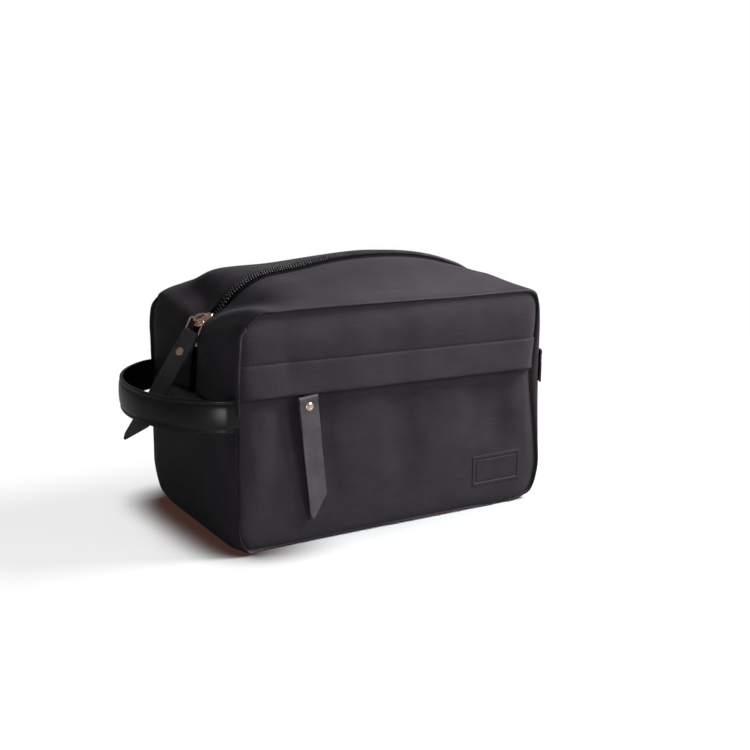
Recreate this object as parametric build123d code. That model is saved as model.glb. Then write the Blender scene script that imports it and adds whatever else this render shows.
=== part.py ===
from build123d import *
import os
from math import asin, cos, degrees, hypot, pi, radians, sin, sqrt

os.makedirs("parts", exist_ok=True)

# A soft box-shaped toiletry bag, standing on its base. X runs along the bag, -Y is the pocket side,
# +Z is up, and the origin is the middle of the base. Sizes are in millimetres.

# The bag's shell
LENGTH = 250.0              # over the fabric of the two ends
DEPTH = 140.0               # over the fabric of the front and the back
HEIGHT = 160.0              # to the seams along the front and back of the top
TOP_CORNER = 18.0           # radius of the panels' upper corners
BASE_CORNER = 16.0          # radius of the panels' lower corners
FABRIC = 1.2                # coated nylon with its stiffening
FOAM = 3.0
LINING = 0.6
SEAM_GAP = 0.2              # between a panel's edge and the gusset sewn to it
BEAD = 1.1                  # radius of the rolled seam round the front and the back
SIDE_SEAM = 97.0            # height where the top gusset meets the end panels
STACK_TOP = 150.0           # upper edge of the foam and the lining
STACK_CORNER = 24.0         # radius of their upper corners
STACK_DROP = 1.0            # how far the ends' foam stops below the side seam
BEAD_OUT = 0.1              # how far the rolled seam's middle lies outside the fabric

# The main zip, which lies on one arc over the bag
ZIP_RADIUS = 222.0
ZIP_RISE = 24.0             # of its highest point over the panels' top seam
ZIP_CREST = 12.5            # its highest point stands this far right of the middle
ZIP_BEND = 12.0             # radius where it turns down at each end
LEFT_SINK = 5.0             # how far the zip's left end lies inside the end panel
RIGHT_SINK = 3.5
ZIP_TAIL = 22.0             # length of tape below each bend
TAPE = 0.8
TAPE_HALF = 16.0            # half the width of the two tapes together
COIL_HALF = 3.2
COIL_THICK = 2.6
COIL_GAP = 0.6              # half the gap between the two coils
ZIP_WINDOW = 7.4            # half the width that the fabric leaves open over the zip
LAY = 0.3                   # running clearance between soft pieces
BAND = 20.0                 # half the width over which the top follows the zip's arc
ZIP_STOP_DOWN = 2.0         # the metal clip begins this far below the bend
ZIP_STOP_LONG = 3.0
WINDOW_END = 2.0            # how far below the tape's end the fabric closes again

# The two halves of the top between the ends, which fold up to open the mouth
FLAP_LEFT = -106.5
FLAP_RIGHT = 101.5
FLAP_GAP = 0.4
SLANT = 1.15                # how much deeper a sheet is when measured square to the base at the seam

# The main slider with its ring and leather pull
SLIDER_LONG = 14.0
SLIDER_HALF = 4.8
PLATE = 1.2
SLIDER_PLAY = 0.4
SLIDER_X = -113.5           # where it stands when the bag is shut
SLIDER_END = 109.0          # where it stands when the bag is open
BRIDGE_WIDTH = 3.2
BRIDGE_WALL = 2.4           # metal round the ring's hole
RING_WIRE = 0.8             # radius
RING_HALF = 5.9             # half its width, between the wires' centres
RING_BACK = 3.2             # its pivot lies this far behind the slider's middle
RING_UP = 5.8               # and this far above the coil
RING_REACH = (-8.6, -6.7)   # from that pivot to the bar that holds the pull, in x and z
PULL_TILT = 32.0            # the pull leans out from the bag, in degrees

# Both leather pulls
PULL_WIDTH = 14.0
PULL_LENGTH = 86.0          # from the fold to the point
PULL_SHOULDER = 69.5        # from the fold to where the slanted cut begins
PULL_POINT = 1.9            # how far the point lies inside the left edge
PULL_THICK = 1.6
FOLD_THICK = 2.8            # where the leather is doubled
FOLD_LENGTH = 22.0
FOLD_WALL = 1.4
BAR_PLAY = 0.2
PULL_NOTCH = 5.0            # the point is cut back this far on its left edge
RIVET_DOWN = 17.0           # from the bar to the main pull's rivet
POCKET_RIVET_DOWN = 5.4     # and to the pocket pull's rivet
RIVET_HEAD = 3.0            # radius
RIVET_SHAFT = 1.2           # radius
RIVET_THICK = 0.9

# The front pocket with its flap and zip
FLAP_EDGE = 106.0           # height of the flap's lower edge at the left seam
FLAP_TILT = 1.28            # the pocket's zip and the flap's edge run down to the right by these degrees
FLAP_FOLD = 127.0           # height of the bend in the flap's fabric
FLAP_HEM = 1.0              # how far the cloth behind the flap stops below that bend
FLAP_PROUD = 3.2            # how far the flap stands in front of the pocket
FACING = 0.6
POCKET_DEEP = 4.4           # room between the pocket's front and its back
POCKET_TOP = 107.9          # upper edge of the pocket's front
POCKET_COIL = 113.0         # height of the pocket zip
POCKET_COIL_HALF = 2.5
POCKET_TAPE_LOW = 98.0
POCKET_TAPE = 0.6
POCKET_COIL_THICK = 2.4
POCKET_PLATE = 1.0
POCKET_STOP = 2.0
POCKET_LEFT = -84.0
POCKET_RIGHT = 100.0
POCKET_SLIDER_X = -74.0
POCKET_SLIDER_HALF = 4.5
POCKET_BAR = 0.65           # radius of the bar that carries the pocket's pull
POCKET_STAND = 0.5          # how far the pull stands off the pocket's front
LINK_WIDTH = 2.2
LINK_THICK = 0.8
ALLOWANCE_GAP = 2.2         # between the pocket's slider and the folded cloth above it
LINK_SLOT = 3.4             # width of the cut in the pull that the link passes through
PULL_LEAN = 7.5             # the pocket's pull hangs askew by this many degrees

# The label patch and the side tab
PATCH_LEFT = 64.0
PATCH_WIDTH = 43.0
PATCH_LOW = 17.0
PATCH_HIGH = 23.0
PATCH_THICK = 1.0
PATCH_RIM = 2.6
PATCH_GROOVE = 0.4
TAB_LOW = 89.0
TAB_HIGH = 24.0
TAB_WIDTH = 12.0
TAB_THICK = 1.6

# The carrying strap on the left end
STRAP_REACH = 48.1          # from the bag to the strap's outer face
STRAP_LOW = 84.6
STRAP_WIDTH = 22.1
STRAP_LAYER = 1.5
STRAP_CHORD = 142.0         # between its two sewn ends
STRAP_STAND = 0.7           # between its ends and the rolled seam

# Places worked out from the sizes above
HALF_LENGTH = LENGTH / 2
HALF_DEPTH = DEPTH / 2
GUSSET_HALF = HALF_DEPTH - FABRIC - SEAM_GAP
BEAD_X = HALF_LENGTH + BEAD_OUT
BEAD_Y = HALF_DEPTH + BEAD_OUT
BEAD_TOP = HEIGHT + BEAD_OUT
BEAD_LOW = BEAD + 0.15
PANEL_IN = BEAD + SEAM_GAP  # from the rolled seam's middle to the panels' edges
STACK_IN = BEAD_X - HALF_LENGTH + FABRIC + FOAM
CENTRE_X = ZIP_CREST
CENTRE_Z = HEIGHT + ZIP_RISE - ZIP_RADIUS
SHELL_OUT = TAPE / 2 + LAY + FABRIC
SHELL_IN = TAPE / 2 + LAY
POCKET_BACK_Y = -HALF_DEPTH + FABRIC + POCKET_DEEP
FRONT_FOAM_Y = POCKET_BACK_Y + FABRIC
FRONT_LINING_Y = FRONT_FOAM_Y + FOAM
ROOM_FRONT = FRONT_LINING_Y + LINING
ROOM_BACK = HALF_DEPTH - FABRIC - FOAM - LINING
POCKET_ZIP_Y = -HALF_DEPTH + FABRIC + POCKET_TAPE / 2
FLAP_INNER_Y = -HALF_DEPTH - FLAP_PROUD + FABRIC
PIVOT_Y = -HALF_DEPTH - POCKET_STAND - POCKET_BAR - BAR_PLAY - FOLD_WALL
POCKET_PIVOT = FLAP_EDGE - POCKET_BAR - BAR_PLAY - FOLD_WALL - LAY
SLIDER_ANGLE = asin((SLIDER_X - CENTRE_X) / ZIP_RADIUS)
SLIDER_TRAVEL = asin((SLIDER_END - CENTRE_X) / ZIP_RADIUS) - SLIDER_ANGLE
SLIDER_Z = CENTRE_Z + ZIP_RADIUS * cos(SLIDER_ANGLE)
RING_X = SLIDER_X - RING_BACK * cos(SLIDER_ANGLE) + RING_UP * sin(SLIDER_ANGLE)
RING_Z = SLIDER_Z + RING_BACK * sin(SLIDER_ANGLE) + RING_UP * cos(SLIDER_ANGLE)
PULL_X = RING_X + RING_REACH[0]
PULL_Z = RING_Z + RING_REACH[1]
STRAP_END = -(BEAD_X + BEAD + STRAP_STAND)
STRAP_PIVOT_X = STRAP_END - STRAP_WIDTH / 2
STRAP_PIVOT_Z = STRAP_LOW + STRAP_WIDTH / 2
STRAP_RADIUS = ((STRAP_CHORD / 2) ** 2 + STRAP_REACH**2) / (2 * STRAP_REACH)
STRAP_CENTRE = STRAP_END - STRAP_REACH + STRAP_RADIUS


def line(a, b):
    return Edge.make_line(a, b)


def arc(a, b, c):
    return Edge.make_three_point_arc(a, b, c)


def rounded_outline(inset, y, top=None, corner=None):
    """The panels' rounded outline at one depth, drawn in by inset from the rolled seam."""
    x = BEAD_X - inset
    low = BEAD_LOW + inset
    high = BEAD_TOP - inset if top is None else top
    r = TOP_CORNER - inset if corner is None else corner
    s = max(BASE_CORNER - inset, 1.0)
    k = 1 - sqrt(0.5)
    return Wire([
        line((-x + s, y, low), (x - s, y, low)),
        arc((x - s, y, low), (x - k * s, y, low + k * s), (x, y, low + s)),
        line((x, y, low + s), (x, y, high - r)),
        arc((x, y, high - r), (x - k * r, y, high - k * r), (x - r, y, high)),
        line((x - r, y, high), (-x + r, y, high)),
        arc((-x + r, y, high), (-x + k * r, y, high - k * r), (-x, y, high - r)),
        line((-x, y, high - r), (-x, y, low + s)),
        arc((-x, y, low + s), (-x + k * s, y, low + k * s), (-x + s, y, low)),
    ])


def panel(inset, y, thick, top=None, corner=None):
    """A flat sheet of the panels' outline, from y towards +Y."""
    return Solid.extrude(Face(rounded_outline(inset, y, top, corner)), (0, thick, 0))


def slab(x0, x1, y0, y1, z0, z1):
    """A plain block between two corners."""
    block = Solid.make_box(x1 - x0, y1 - y0, z1 - z0)
    return block.moved(Location((x0, y0, z0)))


def tilted(shape):
    """Turns a shape with the pocket's zip, about the left end of the flap's edge."""
    pivot = Location((-BEAD_X, 0, FLAP_EDGE))
    return shape.moved(pivot * Location((0, 0, 0), (0, FLAP_TILT, 0)) * pivot.inverse())


def zip_point(angle, offset):
    """A point of the zip's arc in x and z, at an angle from the crest and an offset outwards."""
    r = ZIP_RADIUS + offset
    return CENTRE_X + r * sin(angle), CENTRE_Z + r * cos(angle)


def zip_height(x, offset):
    """The height of the zip's arc at x."""
    return CENTRE_Z + sqrt((ZIP_RADIUS + offset) ** 2 - (x - CENTRE_X) ** 2)


def bend(side):
    """Where the arc turns down at one end: the angle, and the bend's middle in x and z."""
    sink = LEFT_SINK if side < 0 else RIGHT_SINK
    tail_x = side * (HALF_LENGTH - sink)
    angle = asin((tail_x - side * ZIP_BEND - CENTRE_X) / (ZIP_RADIUS - ZIP_BEND))
    return angle, *zip_point(angle, -ZIP_BEND)


def bend_point(side, angle, offset):
    _, x, z = bend(side)
    return x + (ZIP_BEND + offset) * sin(angle), z + (ZIP_BEND + offset) * cos(angle)


def blend(a, b, share):
    return tuple(p + (q - p) * share for p, q in zip(a, b))


def lift(depth):
    """How far the top has gone over from the seam's height to the zip's, at a distance from y = 0."""
    u = min(1.0, (GUSSET_HALF - abs(depth)) / (GUSSET_HALF - BAND))
    return u * (2 - u)


def zip_strip(side, low_offset, high_offset, y0, y1, start, tail):
    """A strip of the zip's end, from x = start over the bend and down by tail, between two offsets."""
    edges, ends = [], []
    turn, _, middle_z = bend(side)
    for offset in (high_offset, low_offset):
        begin = asin((start - CENTRE_X) / (ZIP_RADIUS + offset))
        a = zip_point(begin, offset)
        b = zip_point((begin + turn) / 2, offset)
        c = zip_point(turn, offset)
        d = bend_point(side, (turn + side * pi / 2) / 2, offset)
        e = bend_point(side, side * pi / 2, offset)
        f = (e[0], middle_z - tail)
        a, b, c, d, e, f = ((x, y0, z) for x, z in (a, b, c, d, e, f))
        edges += [arc(a, b, c), arc(c, d, e)] + ([line(e, f)] if tail else [])
        ends.append((a, f if tail else e))
    edges += [line(ends[0][0], ends[1][0]), line(ends[0][1], ends[1][1])]
    return Solid.extrude(Face(Wire(edges)), (0, y1 - y0, 0))


def arc_strip(start, end, low_offset, high_offset, y0, y1):
    """A strip of the zip's arc between x = start and x = end."""
    edges, caps = [], []
    for offset in (high_offset, low_offset):
        first, last = ((asin((x - CENTRE_X) / (ZIP_RADIUS + offset))) for x in (start, end))
        a, b, c = (zip_point(t, offset) for t in (first, (first + last) / 2, last))
        a, b, c = ((x, y0, z) for x, z in (a, b, c))
        edges.append(arc(a, b, c))
        caps.append((a, c))
    edges += [line(caps[0][0], caps[1][0]), line(caps[0][1], caps[1][1])]
    return Solid.extrude(Face(Wire(edges)), (0, y1 - y0, 0))


# The shell's front and back, the pocket and what lies behind them


def front_pocket_panel():
    sheet = panel(PANEL_IN, -HALF_DEPTH, FABRIC)
    return sheet & tilted(slab(-LENGTH, LENGTH, -DEPTH, 0, -HEIGHT, POCKET_TOP))


def front_upper_panel():
    """The fabric above the pocket, which hangs proud of it as a flap and slants in to the top seam."""
    out = -HALF_DEPTH - FLAP_PROUD
    high = BEAD_TOP - PANEL_IN
    profile = [(out, SIDE_SEAM), (out, FLAP_FOLD), (-HALF_DEPTH - LAY, high)]
    ring = profile + [(y + FABRIC, z) for y, z in reversed(profile)]
    face = Face(Wire.make_polygon([(-BEAD_X, y, z) for y, z in ring]))
    sheet = Solid.extrude(face, (2 * BEAD_X, 0, 0))
    below = tilted(slab(-LENGTH, LENGTH, -DEPTH, 0, 0, FLAP_EDGE))
    return (sheet & panel(PANEL_IN, -DEPTH, DEPTH)) - below


def pocket_flap_facing():
    width = HALF_LENGTH - FABRIC - SEAM_GAP
    sheet = slab(-LENGTH, LENGTH, FLAP_INNER_Y, FLAP_INNER_Y + FACING, FLAP_EDGE, FLAP_FOLD - FLAP_HEM)
    return tilted(sheet) & slab(-width, width, -DEPTH, 0, 0, HEIGHT)


def pocket_seam_allowance():
    """The folded cloth inside the stitch line, which the zip's upper tape is sewn to."""
    low, high = POCKET_COIL + POCKET_SLIDER_HALF + ALLOWANCE_GAP, FLAP_FOLD - FLAP_HEM
    return tilted(slab(POCKET_LEFT, POCKET_RIGHT, FLAP_INNER_Y + FACING, -HALF_DEPTH + FABRIC, low, high))


def pocket_upper_tape():
    low = POCKET_COIL + POCKET_COIL_HALF
    y = -HALF_DEPTH + FABRIC
    return tilted(slab(POCKET_LEFT, POCKET_RIGHT, y, y + POCKET_TAPE, low, FLAP_FOLD - FLAP_HEM))


def pocket_lower_tape():
    high = POCKET_COIL - POCKET_COIL_HALF
    y = -HALF_DEPTH + FABRIC
    return tilted(slab(POCKET_LEFT, POCKET_RIGHT, y, y + POCKET_TAPE, POCKET_TAPE_LOW, high))


def pocket_coil():
    low = POCKET_COIL - POCKET_COIL_HALF
    high = POCKET_COIL + POCKET_COIL_HALF
    y = POCKET_ZIP_Y - POCKET_COIL_THICK / 2
    return tilted(slab(POCKET_LEFT, POCKET_RIGHT, y, y + POCKET_COIL_THICK, low, high))


def pocket_zip_stops():
    """A metal clip at each end of the pocket's zip."""
    y = POCKET_ZIP_Y - POCKET_COIL_THICK / 2
    low = POCKET_COIL - POCKET_COIL_HALF
    return Compound([
        tilted(slab(x, x + POCKET_STOP, y, y + POCKET_COIL_THICK, low, low + 2 * POCKET_COIL_HALF))
        for x in (POCKET_LEFT - POCKET_STOP, POCKET_RIGHT)
    ])


def pocket_back_panel():
    return panel(STACK_IN, POCKET_BACK_Y, FABRIC, STACK_TOP, STACK_CORNER)


def front_foam():
    return panel(STACK_IN, FRONT_FOAM_Y, FOAM, STACK_TOP, STACK_CORNER)


def front_lining():
    return panel(STACK_IN, FRONT_LINING_Y, LINING, STACK_TOP, STACK_CORNER)


def back_panel():
    return panel(PANEL_IN, HALF_DEPTH - FABRIC, FABRIC)


def back_foam():
    return panel(STACK_IN, HALF_DEPTH - FABRIC - FOAM, FOAM, STACK_TOP, STACK_CORNER)


def back_lining():
    return panel(STACK_IN, ROOM_BACK, LINING, STACK_TOP, STACK_CORNER)


def seam_bead(side):
    """The rolled seam round the front or the back panel."""
    y = side * BEAD_Y
    path = rounded_outline(0, y)
    section = Plane(origin=(0, y, BEAD_LOW), z_dir=(1, 0, 0)) * Circle(BEAD)
    return sweep(section, path=path)


# The base and the ends


def bottom_gusset():
    """The base sheet with its two turned-up corners."""
    r, t = BASE_CORNER, FABRIC
    x = HALF_LENGTH
    k = 1 - sqrt(0.5)
    y = -GUSSET_HALF
    edges = []
    for s, high in ((x, r), (x - t, r)):
        q = s - (x - r)
        edges += [
            line((-(x - r), y, r - q), (x - r, y, r - q)),
            arc((x - r, y, r - q), (s - k * q, y, r - q + k * q), (s, y, high)),
            arc((-(x - r), y, r - q), (-(s - k * q), y, r - q + k * q), (-s, y, high)),
        ]
    edges += [line((s * x, y, r), (s * (x - t), y, r)) for s in (-1, 1)]
    return Solid.extrude(Face(Wire(edges)), (0, 2 * GUSSET_HALF, 0))


def base_board():
    """The stiffener that keeps the base flat."""
    x = HALF_LENGTH - BASE_CORNER
    return slab(-x, x, -GUSSET_HALF, GUSSET_HALF, FABRIC, FABRIC + FOAM)


def bottom_lining():
    x = HALF_LENGTH - BASE_CORNER
    z = FABRIC + FOAM
    return slab(-x, x, ROOM_FRONT, ROOM_BACK, z, z + LINING)


def end_panel(side):
    x = sorted((side * HALF_LENGTH, side * (HALF_LENGTH - FABRIC)))
    return slab(*x, -GUSSET_HALF, GUSSET_HALF, BASE_CORNER, SIDE_SEAM)


def end_foam(side):
    outer = HALF_LENGTH - FABRIC
    x = sorted((side * outer, side * (outer - FOAM)))
    return slab(*x, -GUSSET_HALF, GUSSET_HALF, BASE_CORNER, SIDE_SEAM - STACK_DROP)


def end_lining(side):
    outer = HALF_LENGTH - FABRIC - FOAM
    x = sorted((side * outer, side * (outer - LINING)))
    return slab(*x, ROOM_FRONT, ROOM_BACK, BASE_CORNER, SIDE_SEAM - STACK_DROP)


def corner_section(side, y, start):
    """One cross-section of the top's end, square to Y: over the corner and down to the side seam."""
    share = lift(y)
    runs = []
    for inset, offset in ((0, SHELL_OUT), (FABRIC, SHELL_IN)):
        x, top, r = side * (HALF_LENGTH - inset), HEIGHT - inset, TOP_CORNER - inset
        turn, _, _ = bend(side)
        begin = asin((start - CENTRE_X) / (ZIP_RADIUS + offset))
        k = r * (1 - sqrt(0.5))
        seam = [
            (start, top),
            ((start + x - side * r) / 2, top),
            (x - side * r, top),
            (x - side * k, top - k),
            (x, top - r),
        ]
        over = [
            zip_point(begin, offset),
            zip_point((begin + turn) / 2, offset),
            zip_point(turn, offset),
            bend_point(side, (turn + side * pi / 2) / 2, offset),
            bend_point(side, side * pi / 2, offset),
        ]
        a, b, c, d, e = ((p[0], y, p[1]) for p in (blend(s, o, share) for s, o in zip(seam, over)))
        foot = (x, y, SIDE_SEAM)
        runs.append((a, b, c, d, e, foot))
    edges = []
    for a, b, c, d, e, foot in runs:
        edges += [Edge.make_spline([a, b, c]), Edge.make_spline([c, d, e]), line(e, foot)]
    edges += [line(runs[0][0], runs[1][0]), line(runs[0][-1], runs[1][-1])]
    return Wire(edges)


def top_end(side):
    """The fixed end of the top, with the window that leaves the zip bare."""
    start = FLAP_LEFT - FLAP_GAP if side < 0 else FLAP_RIGHT + FLAP_GAP
    step = (GUSSET_HALF - BAND) / 5
    stations = [GUSSET_HALF - n * step for n in range(5)] + [BAND, ZIP_WINDOW]
    halves = [
        Solid.make_loft([corner_section(side, way * y, start) for y in stations], True)
        for way in (-1, 1)
    ]
    middle = Solid.make_loft([corner_section(side, y, start) for y in (-ZIP_WINDOW, ZIP_WINDOW)], True)
    _, _, middle_z = bend(side)
    low = middle_z - ZIP_TAIL - WINDOW_END
    bridge = middle & slab(-LENGTH, LENGTH, -ZIP_WINDOW, ZIP_WINDOW, 0, low)
    return halves[0].fuse(halves[1], bridge)


def zip_end_tape(side):
    start = FLAP_LEFT - FLAP_GAP if side < 0 else FLAP_RIGHT + FLAP_GAP
    whole = zip_strip(side, -TAPE / 2, TAPE / 2, -TAPE_HALF, TAPE_HALF, start, ZIP_TAIL)
    turn, _, _ = bend(side)
    run = sorted((start, zip_point(turn, 0)[0]))
    return whole - arc_strip(*run, -COIL_THICK, COIL_THICK, -COIL_HALF, COIL_HALF)


def zip_end_coil(side):
    start = FLAP_LEFT - FLAP_GAP if side < 0 else FLAP_RIGHT + FLAP_GAP
    turn, _, _ = bend(side)
    end = zip_point(turn, 0)[0]
    thick = COIL_THICK / 2
    return Compound([
        arc_strip(*sorted((start, end)), -thick, thick, y, y + COIL_HALF - COIL_GAP)
        for y in (-COIL_HALF, COIL_GAP)
    ])


def zip_stops():
    """The metal clip across the tapes below each bend."""
    clips = []
    for side in (-1, 1):
        _, x, z = bend(side)
        face = x + side * (ZIP_BEND + TAPE / 2)
        span = sorted((face, face + side * FABRIC))
        high = z - ZIP_STOP_DOWN
        clips.append(slab(*span, -COIL_HALF, COIL_HALF, high - ZIP_STOP_LONG, high))
    return Compound(clips)


# The two folding halves of the top, with their halves of the zip


def flap_section(x, way, thick, top_drop, window, edge):
    """One cross-section of a folding half, square to X, between its hinge edge and the zip."""
    step = (edge - BAND) / 4
    depths = [edge - n * step for n in range(4)] + [BAND, window]
    runs = []
    for drop in (top_drop, top_drop + thick):
        seam = HEIGHT - drop * SLANT
        at_zip = zip_height(x, SHELL_OUT - drop)
        points = [(x, way * d, seam + (at_zip - seam) * lift(d)) for d in depths]
        runs.append(points)
    edges = [Edge.make_spline(points) for points in runs]
    edges += [line(runs[0][0], runs[1][0]), line(runs[0][-1], runs[1][-1])]
    return Wire(edges)


def flap_sheet(way, thick, top_drop, window, edge):
    count = 8
    step = (FLAP_RIGHT - FLAP_LEFT) / (count - 1)
    stations = [FLAP_LEFT + n * step for n in range(count)]
    return Solid.make_loft([flap_section(x, way, thick, top_drop, window, edge) for x in stations])


def flap_fabric(way):
    return flap_sheet(way, FABRIC, 0, ZIP_WINDOW, GUSSET_HALF)


def flap_lining(way):
    return flap_sheet(way, LINING, FABRIC + LAY, TAPE_HALF + 1, GUSSET_HALF - 1)


def flap_tape(way):
    y = sorted((way * COIL_HALF, way * TAPE_HALF))
    return arc_strip(FLAP_LEFT, FLAP_RIGHT, -TAPE / 2, TAPE / 2, *y)


def flap_coil(way):
    y = sorted((way * COIL_GAP, way * COIL_HALF))
    return arc_strip(FLAP_LEFT, FLAP_RIGHT, -COIL_THICK / 2, COIL_THICK / 2, *y)


# The main slider, its ring and its pull


def on_slider(shape):
    """Places a shape drawn about the slider's middle, with X along the zip and Z outwards."""
    return shape.moved(Location((SLIDER_X, 0, SLIDER_Z), (0, degrees(SLIDER_ANGLE), 0)))


def slider_plate(low):
    half, tip = SLIDER_LONG / 2, SLIDER_HALF * 0.6
    corners = [
        (-half, -tip), (-half * 0.4, -SLIDER_HALF), (half * 0.7, -SLIDER_HALF), (half, -tip),
        (half, tip), (half * 0.7, SLIDER_HALF), (-half * 0.4, SLIDER_HALF), (-half, tip),
    ]
    face = Face(Wire.make_polygon([(x, y, low) for x, y in corners]))
    return Solid.extrude(face, (0, 0, PLATE))


def zip_slider():
    """Two plates joined by a post between the coils, with turned-down sides and a bridge on top."""
    gap = COIL_THICK / 2 + SLIDER_PLAY
    upper = slider_plate(gap)
    lower = slider_plate(-gap - PLATE)
    post = slab(SLIDER_LONG * 0.1, SLIDER_LONG * 0.28, -COIL_GAP * 0.6, COIL_GAP * 0.6, -gap, gap)
    rims = []
    for s in (-1, 1):
        y = sorted((s * SLIDER_HALF, s * (COIL_HALF + SLIDER_PLAY)))
        rims.append(slab(-SLIDER_LONG * 0.18, SLIDER_LONG * 0.34, *y, TAPE / 2 + SLIDER_PLAY, gap))
    foot = gap + PLATE * 0.8
    left, high, right = -RING_BACK - BRIDGE_WALL, RING_UP + BRIDGE_WALL, SLIDER_LONG * 0.32
    arch = [(left, foot), (left, high - 1.2), (-RING_BACK, high), (right * 0.35, high - 1), (right, foot)]
    face = Face(Wire.make_polygon([(x, -BRIDGE_WIDTH / 2, z) for x, z in arch]))
    bridge = Solid.extrude(face, (0, BRIDGE_WIDTH, 0))
    across = Plane(origin=(-RING_BACK, -BRIDGE_WIDTH, RING_UP), z_dir=(0, 1, 0))
    eye = Solid.make_cylinder(RING_WIRE + BAR_PLAY, 2 * BRIDGE_WIDTH, across)
    return on_slider(upper.fuse(lower, post, *rims, bridge) - eye)


def zip_ring():
    """The wire ring: one bar through the slider's bridge, the other inside the pull's fold."""
    reach = hypot(*RING_REACH)
    r = RING_WIRE * 2.4
    flat = Plane(origin=(RING_X, 0, RING_Z), x_dir=(RING_REACH[0], 0, RING_REACH[1]), z_dir=(
        RING_REACH[1], 0, -RING_REACH[0]))
    corners = [(0, 0), (0, RING_HALF), (reach, RING_HALF), (reach, -RING_HALF), (0, -RING_HALF)]
    outline = Wire.make_polygon([flat.from_local_coords((x, y, 0)) for x, y in corners])
    path = Wire(outline.edges())
    rounded = [v for v in path.vertices() if abs(v.Y) > RING_HALF / 2]
    path = Face(path).fillet_2d(r, rounded).outer_wire()
    section = Plane(origin=(RING_X, 0, RING_Z), z_dir=(0, 1, 0)) * Circle(RING_WIRE)
    return sweep(section, path=path)


def leather_pull(width_at_fold, bar, lean, rivet_down):
    """A pull that hangs along -Z from a bar along X, with its front to -Y, and its hole for the rivet."""
    a = radians(lean)
    half = PULL_WIDTH / 2
    outer = bar + BAR_PLAY + FOLD_WALL

    def at(u, v):
        return u * cos(a) + v * sin(a), -v * cos(a) + u * sin(a)

    def strip(corners, thick):
        ring = [at(u, v) for u, v in corners]
        face = Face(Wire.make_polygon([(x, -thick / 2, z) for x, z in ring]))
        return Solid.extrude(face, (0, thick, 0))

    long = strip([
        (-half, outer), (half, outer), (half, PULL_SHOULDER),
        (-half + PULL_POINT, PULL_LENGTH), (-half, PULL_LENGTH - PULL_NOTCH),
    ], PULL_THICK)
    double = strip([(-half, outer), (half, outer), (half, FOLD_LENGTH), (-half, FOLD_LENGTH)], FOLD_THICK)
    across = Plane(origin=(-width_at_fold / 2, 0, 0), z_dir=(1, 0, 0))
    fold = Solid.make_cylinder(outer, width_at_fold, across)
    bore = Solid.make_cylinder(bar + BAR_PLAY, 4 * half, Plane(origin=(-2 * half, 0, 0), z_dir=(1, 0, 0)))
    neck = slab(-width_at_fold / 2, width_at_fold / 2, -FOLD_THICK / 2, FOLD_THICK / 2, -outer * 1.3, 0)
    x, z = at(0, rivet_down)
    hole = Solid.make_cylinder(RIVET_SHAFT, 20, Plane(origin=(x, -10, z), z_dir=(0, 1, 0)))
    return long.fuse(double, fold, neck) - bore - hole


def rivet(lean, down):
    """A shaft through the doubled leather with a flat head on each face."""
    a = radians(lean)
    x, z = down * sin(a), -down * cos(a)
    half = FOLD_THICK / 2
    shaft = Solid.make_cylinder(RIVET_SHAFT, 2 * half, Plane(origin=(x, -half, z), z_dir=(0, 1, 0)))
    front = Solid.make_cylinder(RIVET_HEAD, RIVET_THICK, Plane(origin=(x, -half, z), z_dir=(0, -1, 0)))
    back = Solid.make_cylinder(RIVET_HEAD * 0.8, RIVET_THICK / 2, Plane(origin=(x, half, z), z_dir=(0, 1, 0)))
    return shaft.fuse(front, back)


def on_ring(shape):
    """Turns a hanging pull to the bag's end and leans it out, on the ring's lower bar."""
    return shape.moved(Location((PULL_X, 0, PULL_Z), (0, PULL_TILT, 0)) * Location((0, 0, 0), (0, 0, -90)))


def zip_pull_leather():
    width = 2 * (RING_HALF - RING_WIRE - SLIDER_PLAY)
    return on_ring(leather_pull(width, RING_WIRE, 0, RIVET_DOWN))


def zip_pull_rivet():
    return on_ring(rivet(0, RIVET_DOWN))


# The pocket's slider and its pull


def pocket_slider():
    """A slider under the flap, whose link comes out below the flap with the bar for the pull."""
    gap = POCKET_COIL_THICK / 2 + SLIDER_PLAY
    x0, x1 = POCKET_SLIDER_X - SLIDER_LONG / 2, POCKET_SLIDER_X + SLIDER_LONG / 2
    z0, z1 = POCKET_COIL - POCKET_SLIDER_HALF, POCKET_COIL + POCKET_SLIDER_HALF
    front = slab(x0, x1, POCKET_ZIP_Y - gap - POCKET_PLATE, POCKET_ZIP_Y - gap, z0, z1)
    back = slab(x0, x1, POCKET_ZIP_Y + gap, POCKET_ZIP_Y + gap + POCKET_PLATE, z0, z1)
    return Compound([tilted(front), tilted(back)])


def pocket_slider_link():
    """A flat tongue from the slider's front plate down to the bar."""
    gap = POCKET_COIL_THICK / 2 + SLIDER_PLAY
    y0 = POCKET_ZIP_Y - gap - POCKET_PLATE
    y1 = y0 + LINK_THICK
    half = LINK_WIDTH / 2
    low = POCKET_COIL - POCKET_SLIDER_HALF
    tongue = slab(POCKET_SLIDER_X - half, POCKET_SLIDER_X + half, y0, y1, POCKET_PIVOT, low)
    z0, z1 = POCKET_PIVOT - POCKET_BAR, POCKET_PIVOT + POCKET_BAR
    foot = slab(POCKET_SLIDER_X - half, POCKET_SLIDER_X + half, PIVOT_Y, y1, z0, z1)
    length = PULL_WIDTH - LINK_WIDTH
    along = Plane(origin=(POCKET_SLIDER_X - length / 2, PIVOT_Y, POCKET_PIVOT), z_dir=(1, 0, 0))
    bar = Solid.make_cylinder(POCKET_BAR, length, along)
    return tilted(tongue.fuse(foot, bar))


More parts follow.
